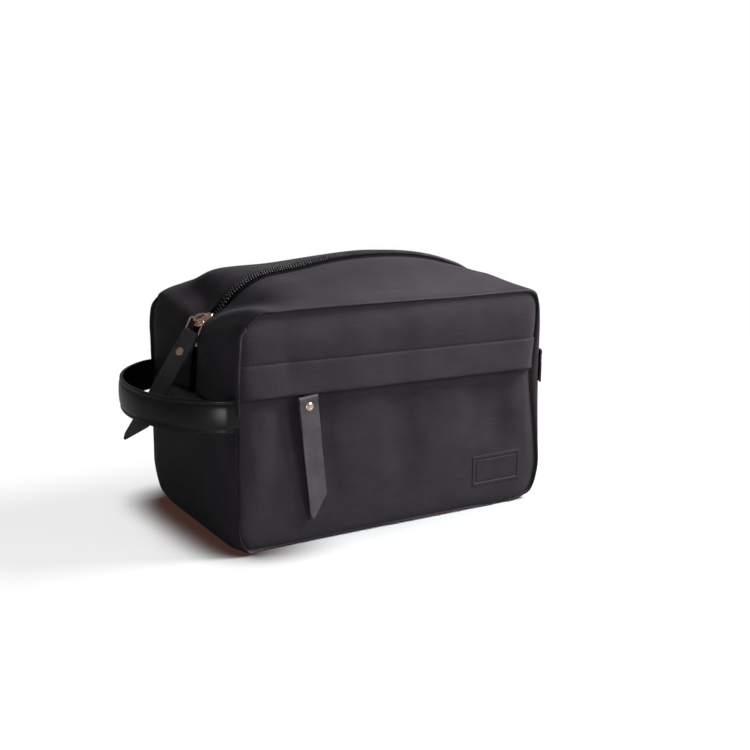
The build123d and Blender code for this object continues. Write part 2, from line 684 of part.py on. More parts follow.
def pocket_pull_leather():
    pull = leather_pull(PULL_WIDTH, POCKET_BAR, PULL_LEAN, POCKET_RIVET_DOWN)
    reach = POCKET_BAR + BAR_PLAY + FOLD_WALL
    half = LINK_SLOT / 2
    slot = slab(-half, half, -2 * reach, 2 * reach, -POCKET_BAR - BAR_PLAY, 2 * reach)
    return tilted((pull - slot).moved(Location((POCKET_SLIDER_X, PIVOT_Y, POCKET_PIVOT))))


def pocket_pull_rivet():
    pin = rivet(PULL_LEAN, POCKET_RIVET_DOWN)
    return tilted(pin.moved(Location((POCKET_SLIDER_X, PIVOT_Y, POCKET_PIVOT))))


# Trim and the carrying strap


def label_patch():
    """A blank moulded patch with a groove inside its rim."""
    x0, x1 = PATCH_LEFT, PATCH_LEFT + PATCH_WIDTH
    z0, z1 = PATCH_LOW, PATCH_LOW + PATCH_HIGH
    y = -HALF_DEPTH - PATCH_THICK
    plate = slab(x0, x1, y, -HALF_DEPTH, z0, z1)
    cut = slab(x0 + PATCH_RIM, x1 - PATCH_RIM, y, y + PATCH_GROOVE, z0 + PATCH_RIM, z1 - PATCH_RIM)
    w = PATCH_RIM + PATCH_GROOVE * 2
    keep = slab(x0 + w, x1 - w, y, y + PATCH_GROOVE, z0 + w, z1 - w)
    return plate - (cut - keep)


def side_tab():
    front = -GUSSET_HALF + BEAD * 2
    x0, x1 = HALF_LENGTH, HALF_LENGTH + TAB_THICK
    return slab(x0, x1, front, front + TAB_WIDTH, TAB_LOW, TAB_LOW + TAB_HIGH)


def strap_layer(outer, thick):
    """One layer of the strap's loop, with rounded ends about its hinge line."""
    ring = Solid.make_cylinder(outer, STRAP_WIDTH) - Solid.make_cylinder(outer - thick, STRAP_WIDTH)
    ring = ring.moved(Location((STRAP_CENTRE, 0, STRAP_LOW)))
    far = STRAP_CENTRE - 2 * STRAP_RADIUS
    keep = slab(far, STRAP_PIVOT_X, -DEPTH, DEPTH, STRAP_LOW, STRAP_LOW + STRAP_WIDTH)
    rounded = Solid.make_cylinder(STRAP_WIDTH / 2, 2 * DEPTH, Plane(
        origin=(STRAP_PIVOT_X, -DEPTH, STRAP_PIVOT_Z), z_dir=(0, 1, 0)))
    return ring & keep.fuse(rounded)


def strap_face():
    return strap_layer(STRAP_RADIUS, STRAP_LAYER)


def strap_backing():
    return strap_layer(STRAP_RADIUS - STRAP_LAYER, STRAP_LAYER)


PIECES = {
    "front_pocket_panel": front_pocket_panel,
    "front_upper_panel": front_upper_panel,
    "pocket_flap_facing": pocket_flap_facing,
    "pocket_seam_allowance": pocket_seam_allowance,
    "pocket_upper_tape": pocket_upper_tape,
    "pocket_lower_tape": pocket_lower_tape,
    "pocket_coil": pocket_coil,
    "pocket_zip_stops": pocket_zip_stops,
    "pocket_back_panel": pocket_back_panel,
    "front_foam": front_foam,
    "front_lining": front_lining,
    "back_panel": back_panel,
    "back_foam": back_foam,
    "back_lining": back_lining,
    "front_seam_bead": lambda: seam_bead(-1),
    "back_seam_bead": lambda: seam_bead(1),
    "bottom_gusset": bottom_gusset,
    "base_board": base_board,
    "bottom_lining": bottom_lining,
    "left_end_panel": lambda: end_panel(-1),
    "right_end_panel": lambda: end_panel(1),
    "left_end_foam": lambda: end_foam(-1),
    "right_end_foam": lambda: end_foam(1),
    "left_end_lining": lambda: end_lining(-1),
    "right_end_lining": lambda: end_lining(1),
    "left_top_end": lambda: top_end(-1),
    "right_top_end": lambda: top_end(1),
    "left_zip_end_tape": lambda: zip_end_tape(-1),
    "right_zip_end_tape": lambda: zip_end_tape(1),
    "left_zip_end_coil": lambda: zip_end_coil(-1),
    "right_zip_end_coil": lambda: zip_end_coil(1),
    "zip_stops": zip_stops,
    "front_top_fabric": lambda: flap_fabric(-1),
    "front_top_lining": lambda: flap_lining(-1),
    "front_zip_tape": lambda: flap_tape(-1),
    "front_zip_coil": lambda: flap_coil(-1),
    "rear_top_fabric": lambda: flap_fabric(1),
    "rear_top_lining": lambda: flap_lining(1),
    "rear_zip_tape": lambda: flap_tape(1),
    "rear_zip_coil": lambda: flap_coil(1),
    "zip_slider": zip_slider,
    "zip_slider_ring": zip_ring,
    "zip_pull_leather": zip_pull_leather,
    "zip_pull_rivet": zip_pull_rivet,
    "pocket_slider": pocket_slider,
    "pocket_slider_link": pocket_slider_link,
    "pocket_pull_leather": pocket_pull_leather,
    "pocket_pull_rivet": pocket_pull_rivet,
    "label_patch": label_patch,
    "side_tab": side_tab,
    "strap_face": strap_face,
    "strap_backing": strap_backing,
}

for name, make in PIECES.items():
    export_step(make(), f"parts/{name}.step")
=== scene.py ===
import bpy
from bisect import bisect_right
from collections import namedtuple
from math import asin, cos, exp, floor, pi, radians, sin
from mathutils import Matrix, Quaternion, Vector, noise


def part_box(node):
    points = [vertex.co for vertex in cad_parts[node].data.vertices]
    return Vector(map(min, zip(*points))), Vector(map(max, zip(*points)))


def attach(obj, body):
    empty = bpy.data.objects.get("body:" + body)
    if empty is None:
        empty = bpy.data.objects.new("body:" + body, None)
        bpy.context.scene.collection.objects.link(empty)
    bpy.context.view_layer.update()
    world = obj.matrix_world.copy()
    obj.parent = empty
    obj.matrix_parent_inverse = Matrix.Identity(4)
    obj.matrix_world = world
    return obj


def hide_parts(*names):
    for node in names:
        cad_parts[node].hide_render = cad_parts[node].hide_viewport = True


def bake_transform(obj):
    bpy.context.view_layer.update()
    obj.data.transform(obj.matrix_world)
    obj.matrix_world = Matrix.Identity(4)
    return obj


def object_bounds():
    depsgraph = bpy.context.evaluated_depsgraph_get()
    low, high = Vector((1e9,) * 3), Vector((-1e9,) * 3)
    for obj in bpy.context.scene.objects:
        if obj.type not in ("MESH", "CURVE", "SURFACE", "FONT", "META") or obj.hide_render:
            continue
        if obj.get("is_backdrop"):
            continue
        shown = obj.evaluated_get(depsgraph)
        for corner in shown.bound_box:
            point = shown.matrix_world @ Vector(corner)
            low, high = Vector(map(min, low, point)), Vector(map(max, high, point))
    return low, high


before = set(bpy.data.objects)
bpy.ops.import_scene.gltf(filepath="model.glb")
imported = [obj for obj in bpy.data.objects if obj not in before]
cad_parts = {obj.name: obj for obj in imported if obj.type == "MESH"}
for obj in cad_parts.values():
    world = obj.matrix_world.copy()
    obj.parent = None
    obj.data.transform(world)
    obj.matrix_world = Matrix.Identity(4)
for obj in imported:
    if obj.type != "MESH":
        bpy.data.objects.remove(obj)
cad_low, cad_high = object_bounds()

# The camera stands a metre off, to the left of the pocket side and a little above it.
# Its place, its focal length and its small shift come from the bag's straight edges in the photograph.
camera = bpy.data.objects.new("camera", bpy.data.cameras.new("camera"))
bpy.context.scene.collection.objects.link(camera)
bpy.context.scene.camera = camera
swing, climb, roll = radians(-30.975), radians(14.296), radians(0.279)
aim, distance = Vector((0, 0, 0.080)), 1.020104
frame_pixels, focal_pixels, shift_pixels = 750, 1381.902, (28.116, 18.524)
back = Vector((sin(swing) * cos(climb), -cos(swing) * cos(climb), sin(climb)))
camera.location = aim + back * distance
camera.rotation_mode = "QUATERNION"
camera.rotation_quaternion = (-back).to_track_quat("-Z", "Y") @ Quaternion((0, 0, 1), roll)
camera.data.sensor_width = 36
camera.data.lens = camera.data.sensor_width * focal_pixels / frame_pixels
camera.data.shift_x = shift_pixels[0] / frame_pixels
camera.data.shift_y = shift_pixels[1] / frame_pixels
bpy.context.scene.view_settings.view_transform = "Standard"

# The bag stands on a white lacquered table top that runs on into a white background, in a pale room.
# A large soft lamp lights it from above the front right. A small one in front, one behind and a white card
# beside the left end lift the parts that it leaves dark.


def colour(code):
    """An sRGB hex colour as linear values."""
    parts = [int(code[k:k + 2], 16) / 255 for k in (1, 3, 5)]
    return [c / 12.92 if c <= 0.04045 else ((c + 0.055) / 1.055) ** 2.4 for c in parts] + [1.0]


def node(tree, kind, settings=None, links=None):
    """Adds a node. Settings are its own properties or its inputs' values, links are its inputs' sources.

    A source is an output, or a node, which stands for its first output.
    """
    made = tree.nodes.new("ShaderNode" + kind)
    for key, value in (settings or {}).items():
        if isinstance(key, str) and hasattr(made, key):
            setattr(made, key, value)
        else:
            made.inputs[key].default_value = value
    for key, source in (links or {}).items():
        output = source.outputs[0] if isinstance(source, bpy.types.Node) else source
        tree.links.new(output, made.inputs[key])
    return made


def empty_material(name):
    material = bpy.data.materials.new(name)
    material.use_nodes = True
    material.node_tree.nodes.clear()
    return material


def seen(tree):
    """1 for the rays that show a background, and 0 for those that carry light."""
    path = node(tree, "LightPath").outputs
    shows = {0: path["Is Camera Ray"], 1: path["Is Transmission Ray"]}
    return node(tree, "Math", {"operation": "MAXIMUM"}, shows)


bpy.ops.object.select_all(action="DESELECT")
bpy.ops.mesh.primitive_plane_add(size=14, location=(0, 0, -0.0003))
floor_piece = bpy.context.object
floor_piece.name = "table_top"
# White lacquer with a faint mirror image; the bag's shadow shows close to it and is washed out further off
lacquer = empty_material("white_lacquer")
tree = lacquer.node_tree
place = node(tree, "TexCoord").outputs["Object"]
white, ease = (1, 1, 1, 1), {"interpolation_type": "SMOOTHSTEP"}
away = node(tree, "VectorMath", {"operation": "LENGTH"}, {0: place}).outputs["Value"]
far = node(tree, "MapRange", {**ease, "From Min": 0.3, "From Max": 0.8}, {"Value": away})
shown = seen(tree)
sides = node(tree, "VectorMath", {"operation": "ABSOLUTE"}, {0: place})
sides = node(tree, "VectorMath", {"operation": "SUBTRACT", 1: (0.112, 0.06, 0.0)}, {0: sides})
sides = node(tree, "VectorMath", {"operation": "MAXIMUM", 1: (0.0, 0.0, 0.0)}, {0: sides})
gap = node(tree, "VectorMath", {"operation": "LENGTH"}, {0: sides}).outputs["Value"]
washed = node(tree, "MapRange", {**ease, "From Min": 0.006, "From Max": 0.048}, {"Value": gap})
gloss = {"Roughness": 0.2, "Specular IOR Level": 0.5}
dark = node(tree, "BsdfPrincipled", {"Base Color": colour("#8f8f90"), **gloss})
close = node(tree, "BsdfPrincipled", {"Base Color": colour("#dfe4e6"), **gloss})
low_glow = node(tree, "Emission", {"Color": colour("#ffe1d6"), "Strength": 0.05})
glow = node(tree, "Emission", {"Color": white, "Strength": 0.74})
shadowed = node(tree, "AddShader", None, {0: close, 1: low_glow})
lifted = node(tree, "AddShader", None, {0: dark, 1: glow})
plain = node(tree, "MixShader", None, {0: washed, 1: shadowed, 2: lifted})
# Where hardly any sky reaches the floor, beside the left end, the shadow is dark and warm
sky = node(tree, "AmbientOcclusion", {"Distance": 0.045, "samples": 16}).outputs["AO"]
hidden = node(tree, "MapRange", {**ease, "From Min": 0.98, "From Max": 0.5}, {"Value": sky})
spot = node(tree, "SeparateXYZ", None, {0: place}).outputs["X"]
to_the_left = {**ease, "From Min": -0.04, "From Max": -0.125, "To Min": 0.12}
leftward = node(tree, "MapRange", to_the_left, {"Value": spot})
contact = node(tree, "Math", {"operation": "MULTIPLY"}, {0: hidden, 1: leftward})
deep_shadow = node(tree, "Emission", {"Color": colour("#6b4a40"), "Strength": 0.35})
plain = node(tree, "MixShader", None, {0: contact, 1: plain, 2: deep_shadow})
near = node(tree, "MixShader", None, {0: shown, 1: dark, 2: plain})
backdrop = node(tree, "Emission", {"Color": white, "Strength": 1.0})
faded = node(tree, "Math", {"operation": "MULTIPLY"}, {0: far, 1: shown})
whole = node(tree, "MixShader", None, {0: faded, 1: near, 2: backdrop})
node(tree, "OutputMaterial", None, {"Surface": whole})
floor_piece.data.materials.append(lacquer)
floor_piece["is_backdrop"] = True

world = bpy.data.worlds.new("room")
bpy.context.scene.world = world
world.use_nodes = True
tree = world.node_tree
tree.nodes.clear()
way = node(tree, "TexCoord")
split = node(tree, "SeparateXYZ", None, {0: way.outputs["Generated"]})
low = node(tree, "MapRange", {**ease, "From Min": 0.62, "From Max": 0.3}, {"Value": split.outputs["Z"]})
both = node(tree, "Math", {"operation": "MULTIPLY"}, {0: seen(tree), 1: low})
dim = node(tree, "Background", {"Color": white, "Strength": 0.15})
bright = node(tree, "Background", {"Color": white, "Strength": 1.0})
mixed = node(tree, "MixShader", None, {0: both, 1: dim, 2: bright})
node(tree, "OutputWorld", None, {"Surface": mixed})

for name, size, energy, spot, aim in (
        ("soft_box", 0.55, 51.0, (1.16, -0.36, 1.16), (0, 0, 0.08)),
        ("front_soft_box", 0.26, 2.3, (0.4, -0.62, 0.4), (0, 0, 0.1)),
        ("back_soft_box", 0.7, 5.0, (0.3, 1.25, 0.55), (0, 0, 0.08)),
        ("white_card", 0.12, 0.24, (-0.34, -0.42, 0.03), (-0.15, -0.05, 0.095))):
    lamp = bpy.data.objects.new(name, bpy.data.lights.new(name, "AREA"))
    bpy.context.scene.collection.objects.link(lamp)
    lamp.data.shape = "SQUARE"
    lamp.data.size = size
    lamp.data.energy = energy
    lamp.visible_camera = False
    lamp.visible_glossy = name != "back_soft_box"
    lamp.location = spot
    lamp.rotation_mode = "QUATERNION"
    lamp.rotation_quaternion = (Vector(aim) - lamp.location).to_track_quat("-Z", "Y")

# The front pocket's cloth, black nylon with a smooth coating, cut to the front's outline.
# It hangs slack in soft upright folds and is sewn into the seam round the front, which lies in a groove.
MM = 0.001
# The front seam as x and z, clockwise from the left side seam, and the bag's outer edge beside it.
# Some of the points, counted from 0, are where the cloths meet.
LEFT_KEY, CREST_KEY, RIGHT_KEY, BASE_RIGHT, BASE_LEFT, KEYS = 0, 9, 18, 23, 27, 32
FRONT_SEAM = [
    (-124.4, 97), (-124.7, 119), (-123.6, 138), (-122.4, 149.3), (-114.0, 155.8), (-105.2, 161.9),
    (-98, 161.2), (-82, 161.3), (-48, 160.9), (0, 159.7), (45, 158.5), (80, 157.9), (102, 157.4),
    (111.5, 156.4), (116, 153.6), (118.0, 149), (118.3, 139), (116.9, 119), (115.2, 97), (118.0, 72),
    (122.0, 45), (122.9, 22), (118.5, 8.5), (108, 2.6), (60, 1.7), (0, 1.9), (-60, 1.4), (-106, 1.3),
    (-118.8, 2.8), (-123.4, 10.5), (-124.4, 32), (-124.6, 60)]
FRONT_EDGE = [
    (-126.8, 97), (-126.8, 119), (-125.9, 137), (-123.3, 149.2), (-115.0, 157.3), (-106, 163.6),
    (-98, 163.5), (-82, 163.4), (-48, 162.9), (0, 161.6), (45, 160.5), (80, 160.1), (102, 159.9),
    (112.5, 159.4), (119.5, 155.4), (122.6, 149), (124.2, 139), (124.9, 119), (125.2, 97), (125.8, 72),
    (126.6, 45), (126.8, 20), (120.6, 5.4), (108.5, 0.7), (60, 0.3), (0, 0.5), (-60, 0.2), (-106, 0.1),
    (-121.8, 0.9), (-126.2, 6.5), (-127.0, 32), (-127.2, 60)]


def through(keys, s):
    """A smooth closed line through the keys, at s, which counts keys."""
    n, i = len(keys), floor(s)
    f = s - i
    a, b, c, d = (Vector(keys[(i + k) % n]) for k in (-1, 0, 1, 2))
    ab, bc, cd = (b - a).length, (c - b).length, (d - c).length
    leave = ((b - a) / ab * bc + (c - b) / bc * ab) / (ab + bc)
    reach = ((c - b) / bc * cd + (d - c) / cd * bc) / (bc + cd)
    return (b * (2 * f**3 - 3 * f**2 + 1) + leave * bc * (f**3 - 2 * f**2 + f)
            + c * (3 * f**2 - 2 * f**3) + reach * bc * (f**3 - f**2))


def read_off(run, value, key=1, want=0):
    """The other coordinate of a sampled line where one coordinate has this value."""
    value = min(max(value, run[0][key]), run[-1][key])
    for a, b in zip(run, run[1:]):
        if a[key] <= value <= b[key] and b[key] > a[key]:
            return a[want] + (b[want] - a[want]) * (value - a[key]) / (b[key] - a[key])
    return run[-1][want]


def sampled(keys, first, way, spans):
    """Points along a line from one of its keys on, twelve to the span between two keys."""
    return [through(keys, first + way * k / 12) for k in range(12 * spans + 1)]


LEFT_RUN = sampled(FRONT_SEAM, BASE_LEFT, 1, 10)
RIGHT_RUN = sampled(FRONT_SEAM, BASE_RIGHT, -1, 10)
TOP_RUN = sampled(FRONT_SEAM, 5, 1, 8)
BOTTOM_RUN = sampled(FRONT_SEAM, BASE_LEFT, -1, 4)


def smooth(value, low, high):
    t = min(max((value - low) / (high - low), 0.0), 1.0)
    return t * t * (3 - 2 * t)


def hump(value, middle, width):
    return exp(-((value - middle) / width) ** 2)


def wander(x, y, z, size, seed=0.0):
    """Slow unevenness of cloth, between about -1 and 1, over lengths of about size millimetres."""
    return noise.noise(Vector((x, y, z)) / size + Vector((seed, 2.3 * seed, 0.7)))


def spread(count, ends):
    """Shares from 0 to 1, closer together towards both ends."""
    even = [k / count for k in range(count + 1)]
    return [t + (0.5 - 0.5 * cos(pi * t) - t) * ends for t in even]


def fix(piece, kind, **settings):
    """Adds a modifier and applies it."""
    made = piece.modifiers.new(kind, kind)
    for key, value in settings.items():
        setattr(made, key, value)
    bpy.ops.object.select_all(action="DESELECT")
    piece.select_set(True)
    bpy.context.view_layer.objects.active = piece
    bpy.ops.object.modifier_apply(modifier=made.name)


def edit(piece, work):
    """Runs work in edit mode with everything selected."""
    bpy.ops.object.select_all(action="DESELECT")
    piece.select_set(True)
    bpy.context.view_layer.objects.active = piece
    bpy.ops.object.mode_set(mode="EDIT")
    bpy.ops.mesh.select_all(action="SELECT")
    work()
    bpy.ops.object.mode_set(mode="OBJECT")


def smooth_shade(piece, angle=40):
    bpy.ops.object.select_all(action="DESELECT")
    piece.select_set(True)
    bpy.context.view_layer.objects.active = piece
    bpy.ops.object.shade_smooth_by_angle(angle=radians(angle))


def cloth(name, across, along, place, thick=1.2, middle=(0, 0, 80), finer=1):
    """A sheet of cloth: a flat grid whose points are moved to place(across, along), in millimetres.

    Its UV map counts millimetres of cloth. It faces away from middle, and its thickness lies behind it.
    """
    n, m = len(across), len(along)
    spots = [[Vector(place(a, b)) for b in along] for a in across]
    half_n, half_m = n // 2, m // 2
    wide, high = [0.0], [0.0]
    for i in range(1, n):
        wide.append(wide[-1] + (spots[i][half_m] - spots[i - 1][half_m]).length)
    for j in range(1, m):
        high.append(high[-1] + (spots[half_n][j] - spots[half_n][j - 1]).length)
    bpy.ops.object.select_all(action="DESELECT")
    bpy.ops.mesh.primitive_grid_add(x_subdivisions=n - 1, y_subdivisions=m - 1, size=2)
    piece = bpy.context.object
    piece.name = piece.data.name = name
    mesh = piece.data
    cell = {v.index: (round((v.co.x + 1) / 2 * (n - 1)), round((v.co.y + 1) / 2 * (m - 1)))
            for v in mesh.vertices}
    for loop in mesh.loops:
        i, j = cell[loop.vertex_index]
        mesh.uv_layers.active.data[loop.index].uv = (wide[i], high[j])
    for v in mesh.vertices:
        i, j = cell[v.index]
        v.co = spots[i][j] * MM
    outward = sum((p.center - Vector(middle) * MM).dot(p.normal) * p.area for p in mesh.polygons)
    if outward < 0:
        edit(piece, bpy.ops.mesh.flip_normals)
    if finer:
        fix(piece, "SUBSURF", levels=finer, render_levels=finer, boundary_smooth="PRESERVE_CORNERS")
    if thick:
        fix(piece, "SOLIDIFY", thickness=thick * MM, offset=-1.0)
    smooth_shade(piece)
    return piece


def surfaced(made, settings, colours, stops, tone, relief, weight, deep, gloss=None):
    """Closes a material: its two colours by tone, its relief so many millimetres deep, and its gloss."""
    tree = made.node_tree
    ramp = node(tree, "ValToRGB", None, {"Fac": tone})
    for stop, spot, code in zip(ramp.color_ramp.elements, stops, colours):
        stop.position = spot
        stop.color = colour(code)
    bump = node(tree, "Bump", {"Strength": weight, "Distance": deep * MM}, {"Height": relief})
    sources = {"Base Color": ramp, "Normal": bump}
    if gloss:
        sources["Roughness"] = gloss
    shader = node(tree, "BsdfPrincipled", settings, sources)
    node(tree, "OutputMaterial", None, {"Surface": shader})
    return made


# The scale of a wave texture whose bands lie one unit apart
WAVE = 0.314


def woven(name, dark, light, thread, rough, weight, sheen, deep):
    """Plain-woven cloth: two crossed rows of threads as relief, and slow changes of tone and gloss."""
    made = empty_material(name)
    tree = made.node_tree
    uv = node(tree, "TexCoord").outputs["UV"]
    row = {"Scale": WAVE / thread, "Distortion": 0.6, "Detail": 1.0, "Detail Scale": 0.4}
    warp = node(tree, "TexWave", {"bands_direction": "X", **row}, {"Vector": uv}).outputs["Fac"]
    weft = node(tree, "TexWave", {"bands_direction": "Y", **row}, {"Vector": uv}).outputs["Fac"]
    threads = node(tree, "Math", {"operation": "MULTIPLY"}, {0: warp, 1: weft})
    slub_map = node(tree, "Mapping", {"Scale": (0.06, 0.9, 1.0)}, {"Vector": uv})
    slub = node(tree, "TexNoise", {"Scale": 1.0, "Detail": 2.0}, {"Vector": slub_map}).outputs["Fac"]
    cloudy = {"Scale": 0.035, "Detail": 3.0, "Roughness": 0.55}
    slow = node(tree, "TexNoise", cloudy, {"Vector": uv}).outputs["Fac"]
    speckled = {"Scale": 0.6, "Detail": 3.0, "Roughness": 0.6}
    fine = node(tree, "TexNoise", speckled, {"Vector": uv}).outputs["Fac"]
    tone = node(tree, "Math", {"operation": "MULTIPLY_ADD", 1: 0.55, 2: 0.0}, {0: slow})
    tone = node(tree, "Math", {"operation": "MULTIPLY_ADD", 1: 0.3}, {0: slub, 2: tone})
    tone = node(tree, "Math", {"operation": "MULTIPLY_ADD", 1: 0.25}, {0: threads, 2: tone})
    gloss = node(tree, "MapRange", {"To Min": rough - 0.05, "To Max": rough + 0.07}, {"Value": fine})
    relief = node(tree, "Math", {"operation": "MULTIPLY_ADD", 1: 0.35}, {0: fine, 2: threads})
    surface = {"Specular IOR Level": 0.05, "Sheen Weight": sheen, "Sheen Roughness": 0.45,
               "Sheen Tint": colour("#c9c4cc")}
    return surfaced(made, surface, (dark, light), (0.3, 0.75), tone, relief, weight, deep, gloss)


# Coated nylon: the threads are 0.3 mm on the real cloth and are drawn 0.9 mm apart so that they show.
# The coating gives a broad soft shine and the slack weave a slightly uneven tone.
coated_nylon = woven("coated_nylon", "#322f33", "#413d41", 0.9, 0.5, 0.35, 0.04, 0.12)


def finish(piece, material, body=None, stands_for=()):
    """Gives a piece its material and its body, and hides the CAD nodes that it stands for."""
    piece.data.materials.clear()
    piece.data.materials.append(material)
    if body:
        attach(piece, body)
    if stands_for:
        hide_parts(*stands_for)
    return piece


# Both lines fall a little towards the right end, by this much to the millimetre
FALL = 0.02234


def hem_line(x):
    return 106.0 - FALL * (x + 125)


def stitch_line(x):
    return 128.8 - FALL * (x + 125)


def seam_distance(x, z):
    """How far a point of the front lies inside its seam."""
    return max(0.0, min(x - read_off(LEFT_RUN, z), read_off(RIGHT_RUN, z) - x, z - 1.2, 165 - z))


# Each fold's flank: how deep it steps in millimetres, from which x to which, and how it slants with height
FLANKS = ((4.6, -112, -90, -1), (-1.0, -84, -70, 0), (-3.1, -62, -42, 0.5), (3.3, -26, 1, 1),
          (-2.6, 4, 22, 1), (2.9, 42, 70, -0.5), (-4.2, 84, 110, -1))


def folds(x, z):
    """The slack cloth's soft upright folds; positive goes into the bag."""
    drift = 0.1 * (z - 75)
    upright = sum(step * smooth(x + slant * drift, low, high) for step, low, high, slant in FLANKS) - 1.9
    hollow = 1.2 * smooth(z, 70, 100) * hump(x, -52, 16)
    beside_pull = 1.4 * smooth(z, 12, 40) * hump(x, -75.0 - 0.109 * z, 4.5)
    return (smooth(z, 8, 88) * upright + (hollow + beside_pull)) * (1 - 0.5 * smooth(z, 92, 106))


def pocket_depth(x, z):
    inside = seam_distance(x, z)
    y = -68.4 - 1.4 * (1 - exp(-inside / 2.0)) - 1.4 * (1 - exp(-inside / 9)) * (1 - 0.5 * smooth(z, 80, 98))
    under_patch = smooth(x, 52, 62) * smooth(-x, -116, -108) * smooth(-z, -56, -44)
    slack = folds(x, z) * smooth(inside, 0, 14) * (1 - 0.8 * under_patch)
    y += slack + 0.45 * wander(x, 0, z, 38, 1.0) * smooth(inside, 0, 12)
    # The pull slides along in front of the cloth, so that no fold stands out beyond this
    limit, near = -71.9 + 0.8 * smooth(z, 66, 80) - 1.0 * smooth(-x, 84, 94) + 0.6 * under_patch, 0.6
    return y if y > limit + near else limit + near * exp((y - limit - near) / near)


def front_point(f, z, depth):
    """A point of the front at a share f of the width and a height z."""
    left, right = read_off(LEFT_RUN, z), read_off(RIGHT_RUN, z)
    x = left + (right - left) * f
    return x, depth(x, z), z


def pocket_place(f, h):
    x = -124 + 240 * f
    low, high = read_off(BOTTOM_RUN, x, 0, 1) - 0.9, hem_line(x) + 3.4
    return front_point(f, low + (high - low) * h, pocket_depth)


pocket_front = cloth("pocket_front_cloth", spread(60, 0.9), spread(36, 0.9), pocket_place)
finish(pocket_front, coated_nylon, "bag_body", stands_for=["front_pocket_panel"])

# The upper front is one cloth from the top seam down to a folded hem, which hangs over the pocket's mouth.
# A row of stitches holds it to the pocket's zip, and below that row it hangs free as a flap.


def upper_depth(x, z):
    left, right, top = read_off(LEFT_RUN, z), read_off(RIGHT_RUN, z), read_off(TOP_RUN, x, 0, 1) + 0.4
    inside = max(0.0, min(x - left, right - x, top - z))
    stitch, hem = stitch_line(x), hem_line(x)
    if z < stitch:
        share = min(1, max(0, (z - hem) / (stitch - hem)))
        y = -73.1 - 2.3 * (1 - share) ** 1.2 + 1.1 * exp(-(z - hem) / 0.5)
    else:
        share = (z - stitch) / (161 - stitch)
        y = -73.1 + 3.6 * share**2 - 0.7 * sin(pi * min(1, share))
    y += 0.55 * hump(z, stitch, 0.6)
    y += 0.35 * folds(x, z) + 0.5 * wander(x, 0, z, 42, 4.0)
    rim = -69.2 if z > stitch else -70.3
    return rim + (y - rim) * (1 - exp(-inside / 3.2))


def upper_place(f, h):
    x = -124 + 240 * f
    hem, stitch = hem_line(x), stitch_line(x)
    if h <= 0:
        z = hem + 1.6 if h < -1.5 else hem + 0.3
        left, right = read_off(LEFT_RUN, z), read_off(RIGHT_RUN, z)
        spot = left + (right - left) * f
        return spot, upper_depth(spot, hem + 3) + (1.5 if h < -1.5 else 1.1), z
    if h <= 1:
        return front_point(f, hem + (stitch - hem) * h, upper_depth)
    return front_point(f, stitch + (read_off(TOP_RUN, x, 0, 1) - stitch) * (h - 1), upper_depth)


# Rows of the cloth: two behind the hem, up to 1 at the stitches and up to 2 at the top seam
rows = [-2, -1, 0.02, 0.06, 0.12, 0.2, 0.3, 0.42, 0.55, 0.68, 0.8, 0.89, 0.95, 0.98, 1.0, 1.015, 1.04, 1.08,
        1.14, 1.22, 1.31, 1.41, 1.51, 1.61, 1.71, 1.8, 1.87, 1.92, 1.955, 1.98, 1.994, 2.0]
upper_front = cloth("upper_front_cloth", spread(64, 0.9), rows, upper_place)
finish(upper_front, coated_nylon, "bag_body", stands_for=["front_upper_panel"])


def thread_material(name, dark, light):
    """Twisted sewing thread, with a slanting relief."""
    made = empty_material(name)
    tree = made.node_tree
    where = node(tree, "TexCoord")
    turned = node(tree, "Mapping", {"Rotation": (0.6, 0.5, 0.7)}, {"Vector": where.outputs["Object"]})
    twist = node(tree, "TexWave", {"Scale": WAVE / (0.6 * MM)}, {"Vector": turned}).outputs["Fac"]
    surface = {"Roughness": 0.6, "Specular IOR Level": 0.4, "Sheen Weight": 0.1}
    return surfaced(made, surface, (dark, light), (0, 1), twist, twist, 0.4, 0.1)


# Polyester thread, 0.6 mm thick and twisted, a little darker than the cloth
sewing_thread = thread_material("polyester_thread", "#1a191c", "#3a373c")


def repeated(name, count, pitch, size, place, material, sink=0.0, segments=6):
    """A row of small parts: one is shaped, repeated along X and laid on place(distance, side, height)."""
    bpy.ops.object.select_all(action="DESELECT")
    bpy.ops.mesh.primitive_uv_sphere_add(segments=segments, ring_count=segments, radius=MM)
    piece = bpy.context.object
    piece.name = piece.data.name = name

    def shape():
        bpy.ops.transform.rotate(value=pi / 2, orient_axis="Y", center_override=(0, 0, 0))
        bpy.ops.transform.resize(value=size)

    edit(piece, shape)
    fix(piece, "ARRAY", count=count, use_relative_offset=False, use_constant_offset=True,
        constant_offset_displace=(pitch * MM, 0, 0))
    for v in piece.data.vertices:
        a, b, c = v.co / MM
        n = round(a / pitch)
        v.co = Vector(place(a, b, c - sink * ((a - n * pitch) / size[0]) ** 2)) * MM
    smooth_shade(piece, 60)
    piece.data.materials.append(material)
    return piece


def stitches(name, length, place, pitch=2.9, long=1.9, thick=0.38):
    """A row of stitches whose ends sink into the cloth."""
    count = int(length / pitch)
    start = (length - (count - 1) * pitch) / 2
    return repeated(name, count, pitch, (long / 2, thick, 0.8 * thick),
                    lambda a, b, c: place(start + a, b, c), sewing_thread, sink=0.9 * thick)


def flap_row(distance, side, height):
    x = -120.5 + distance
    z = stitch_line(x)
    return x, upper_depth(x, z) - 0.12 - height, z + side


flap_stitches = stitches("flap_stitches", 235, flap_row)
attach(flap_stitches, "bag_body")

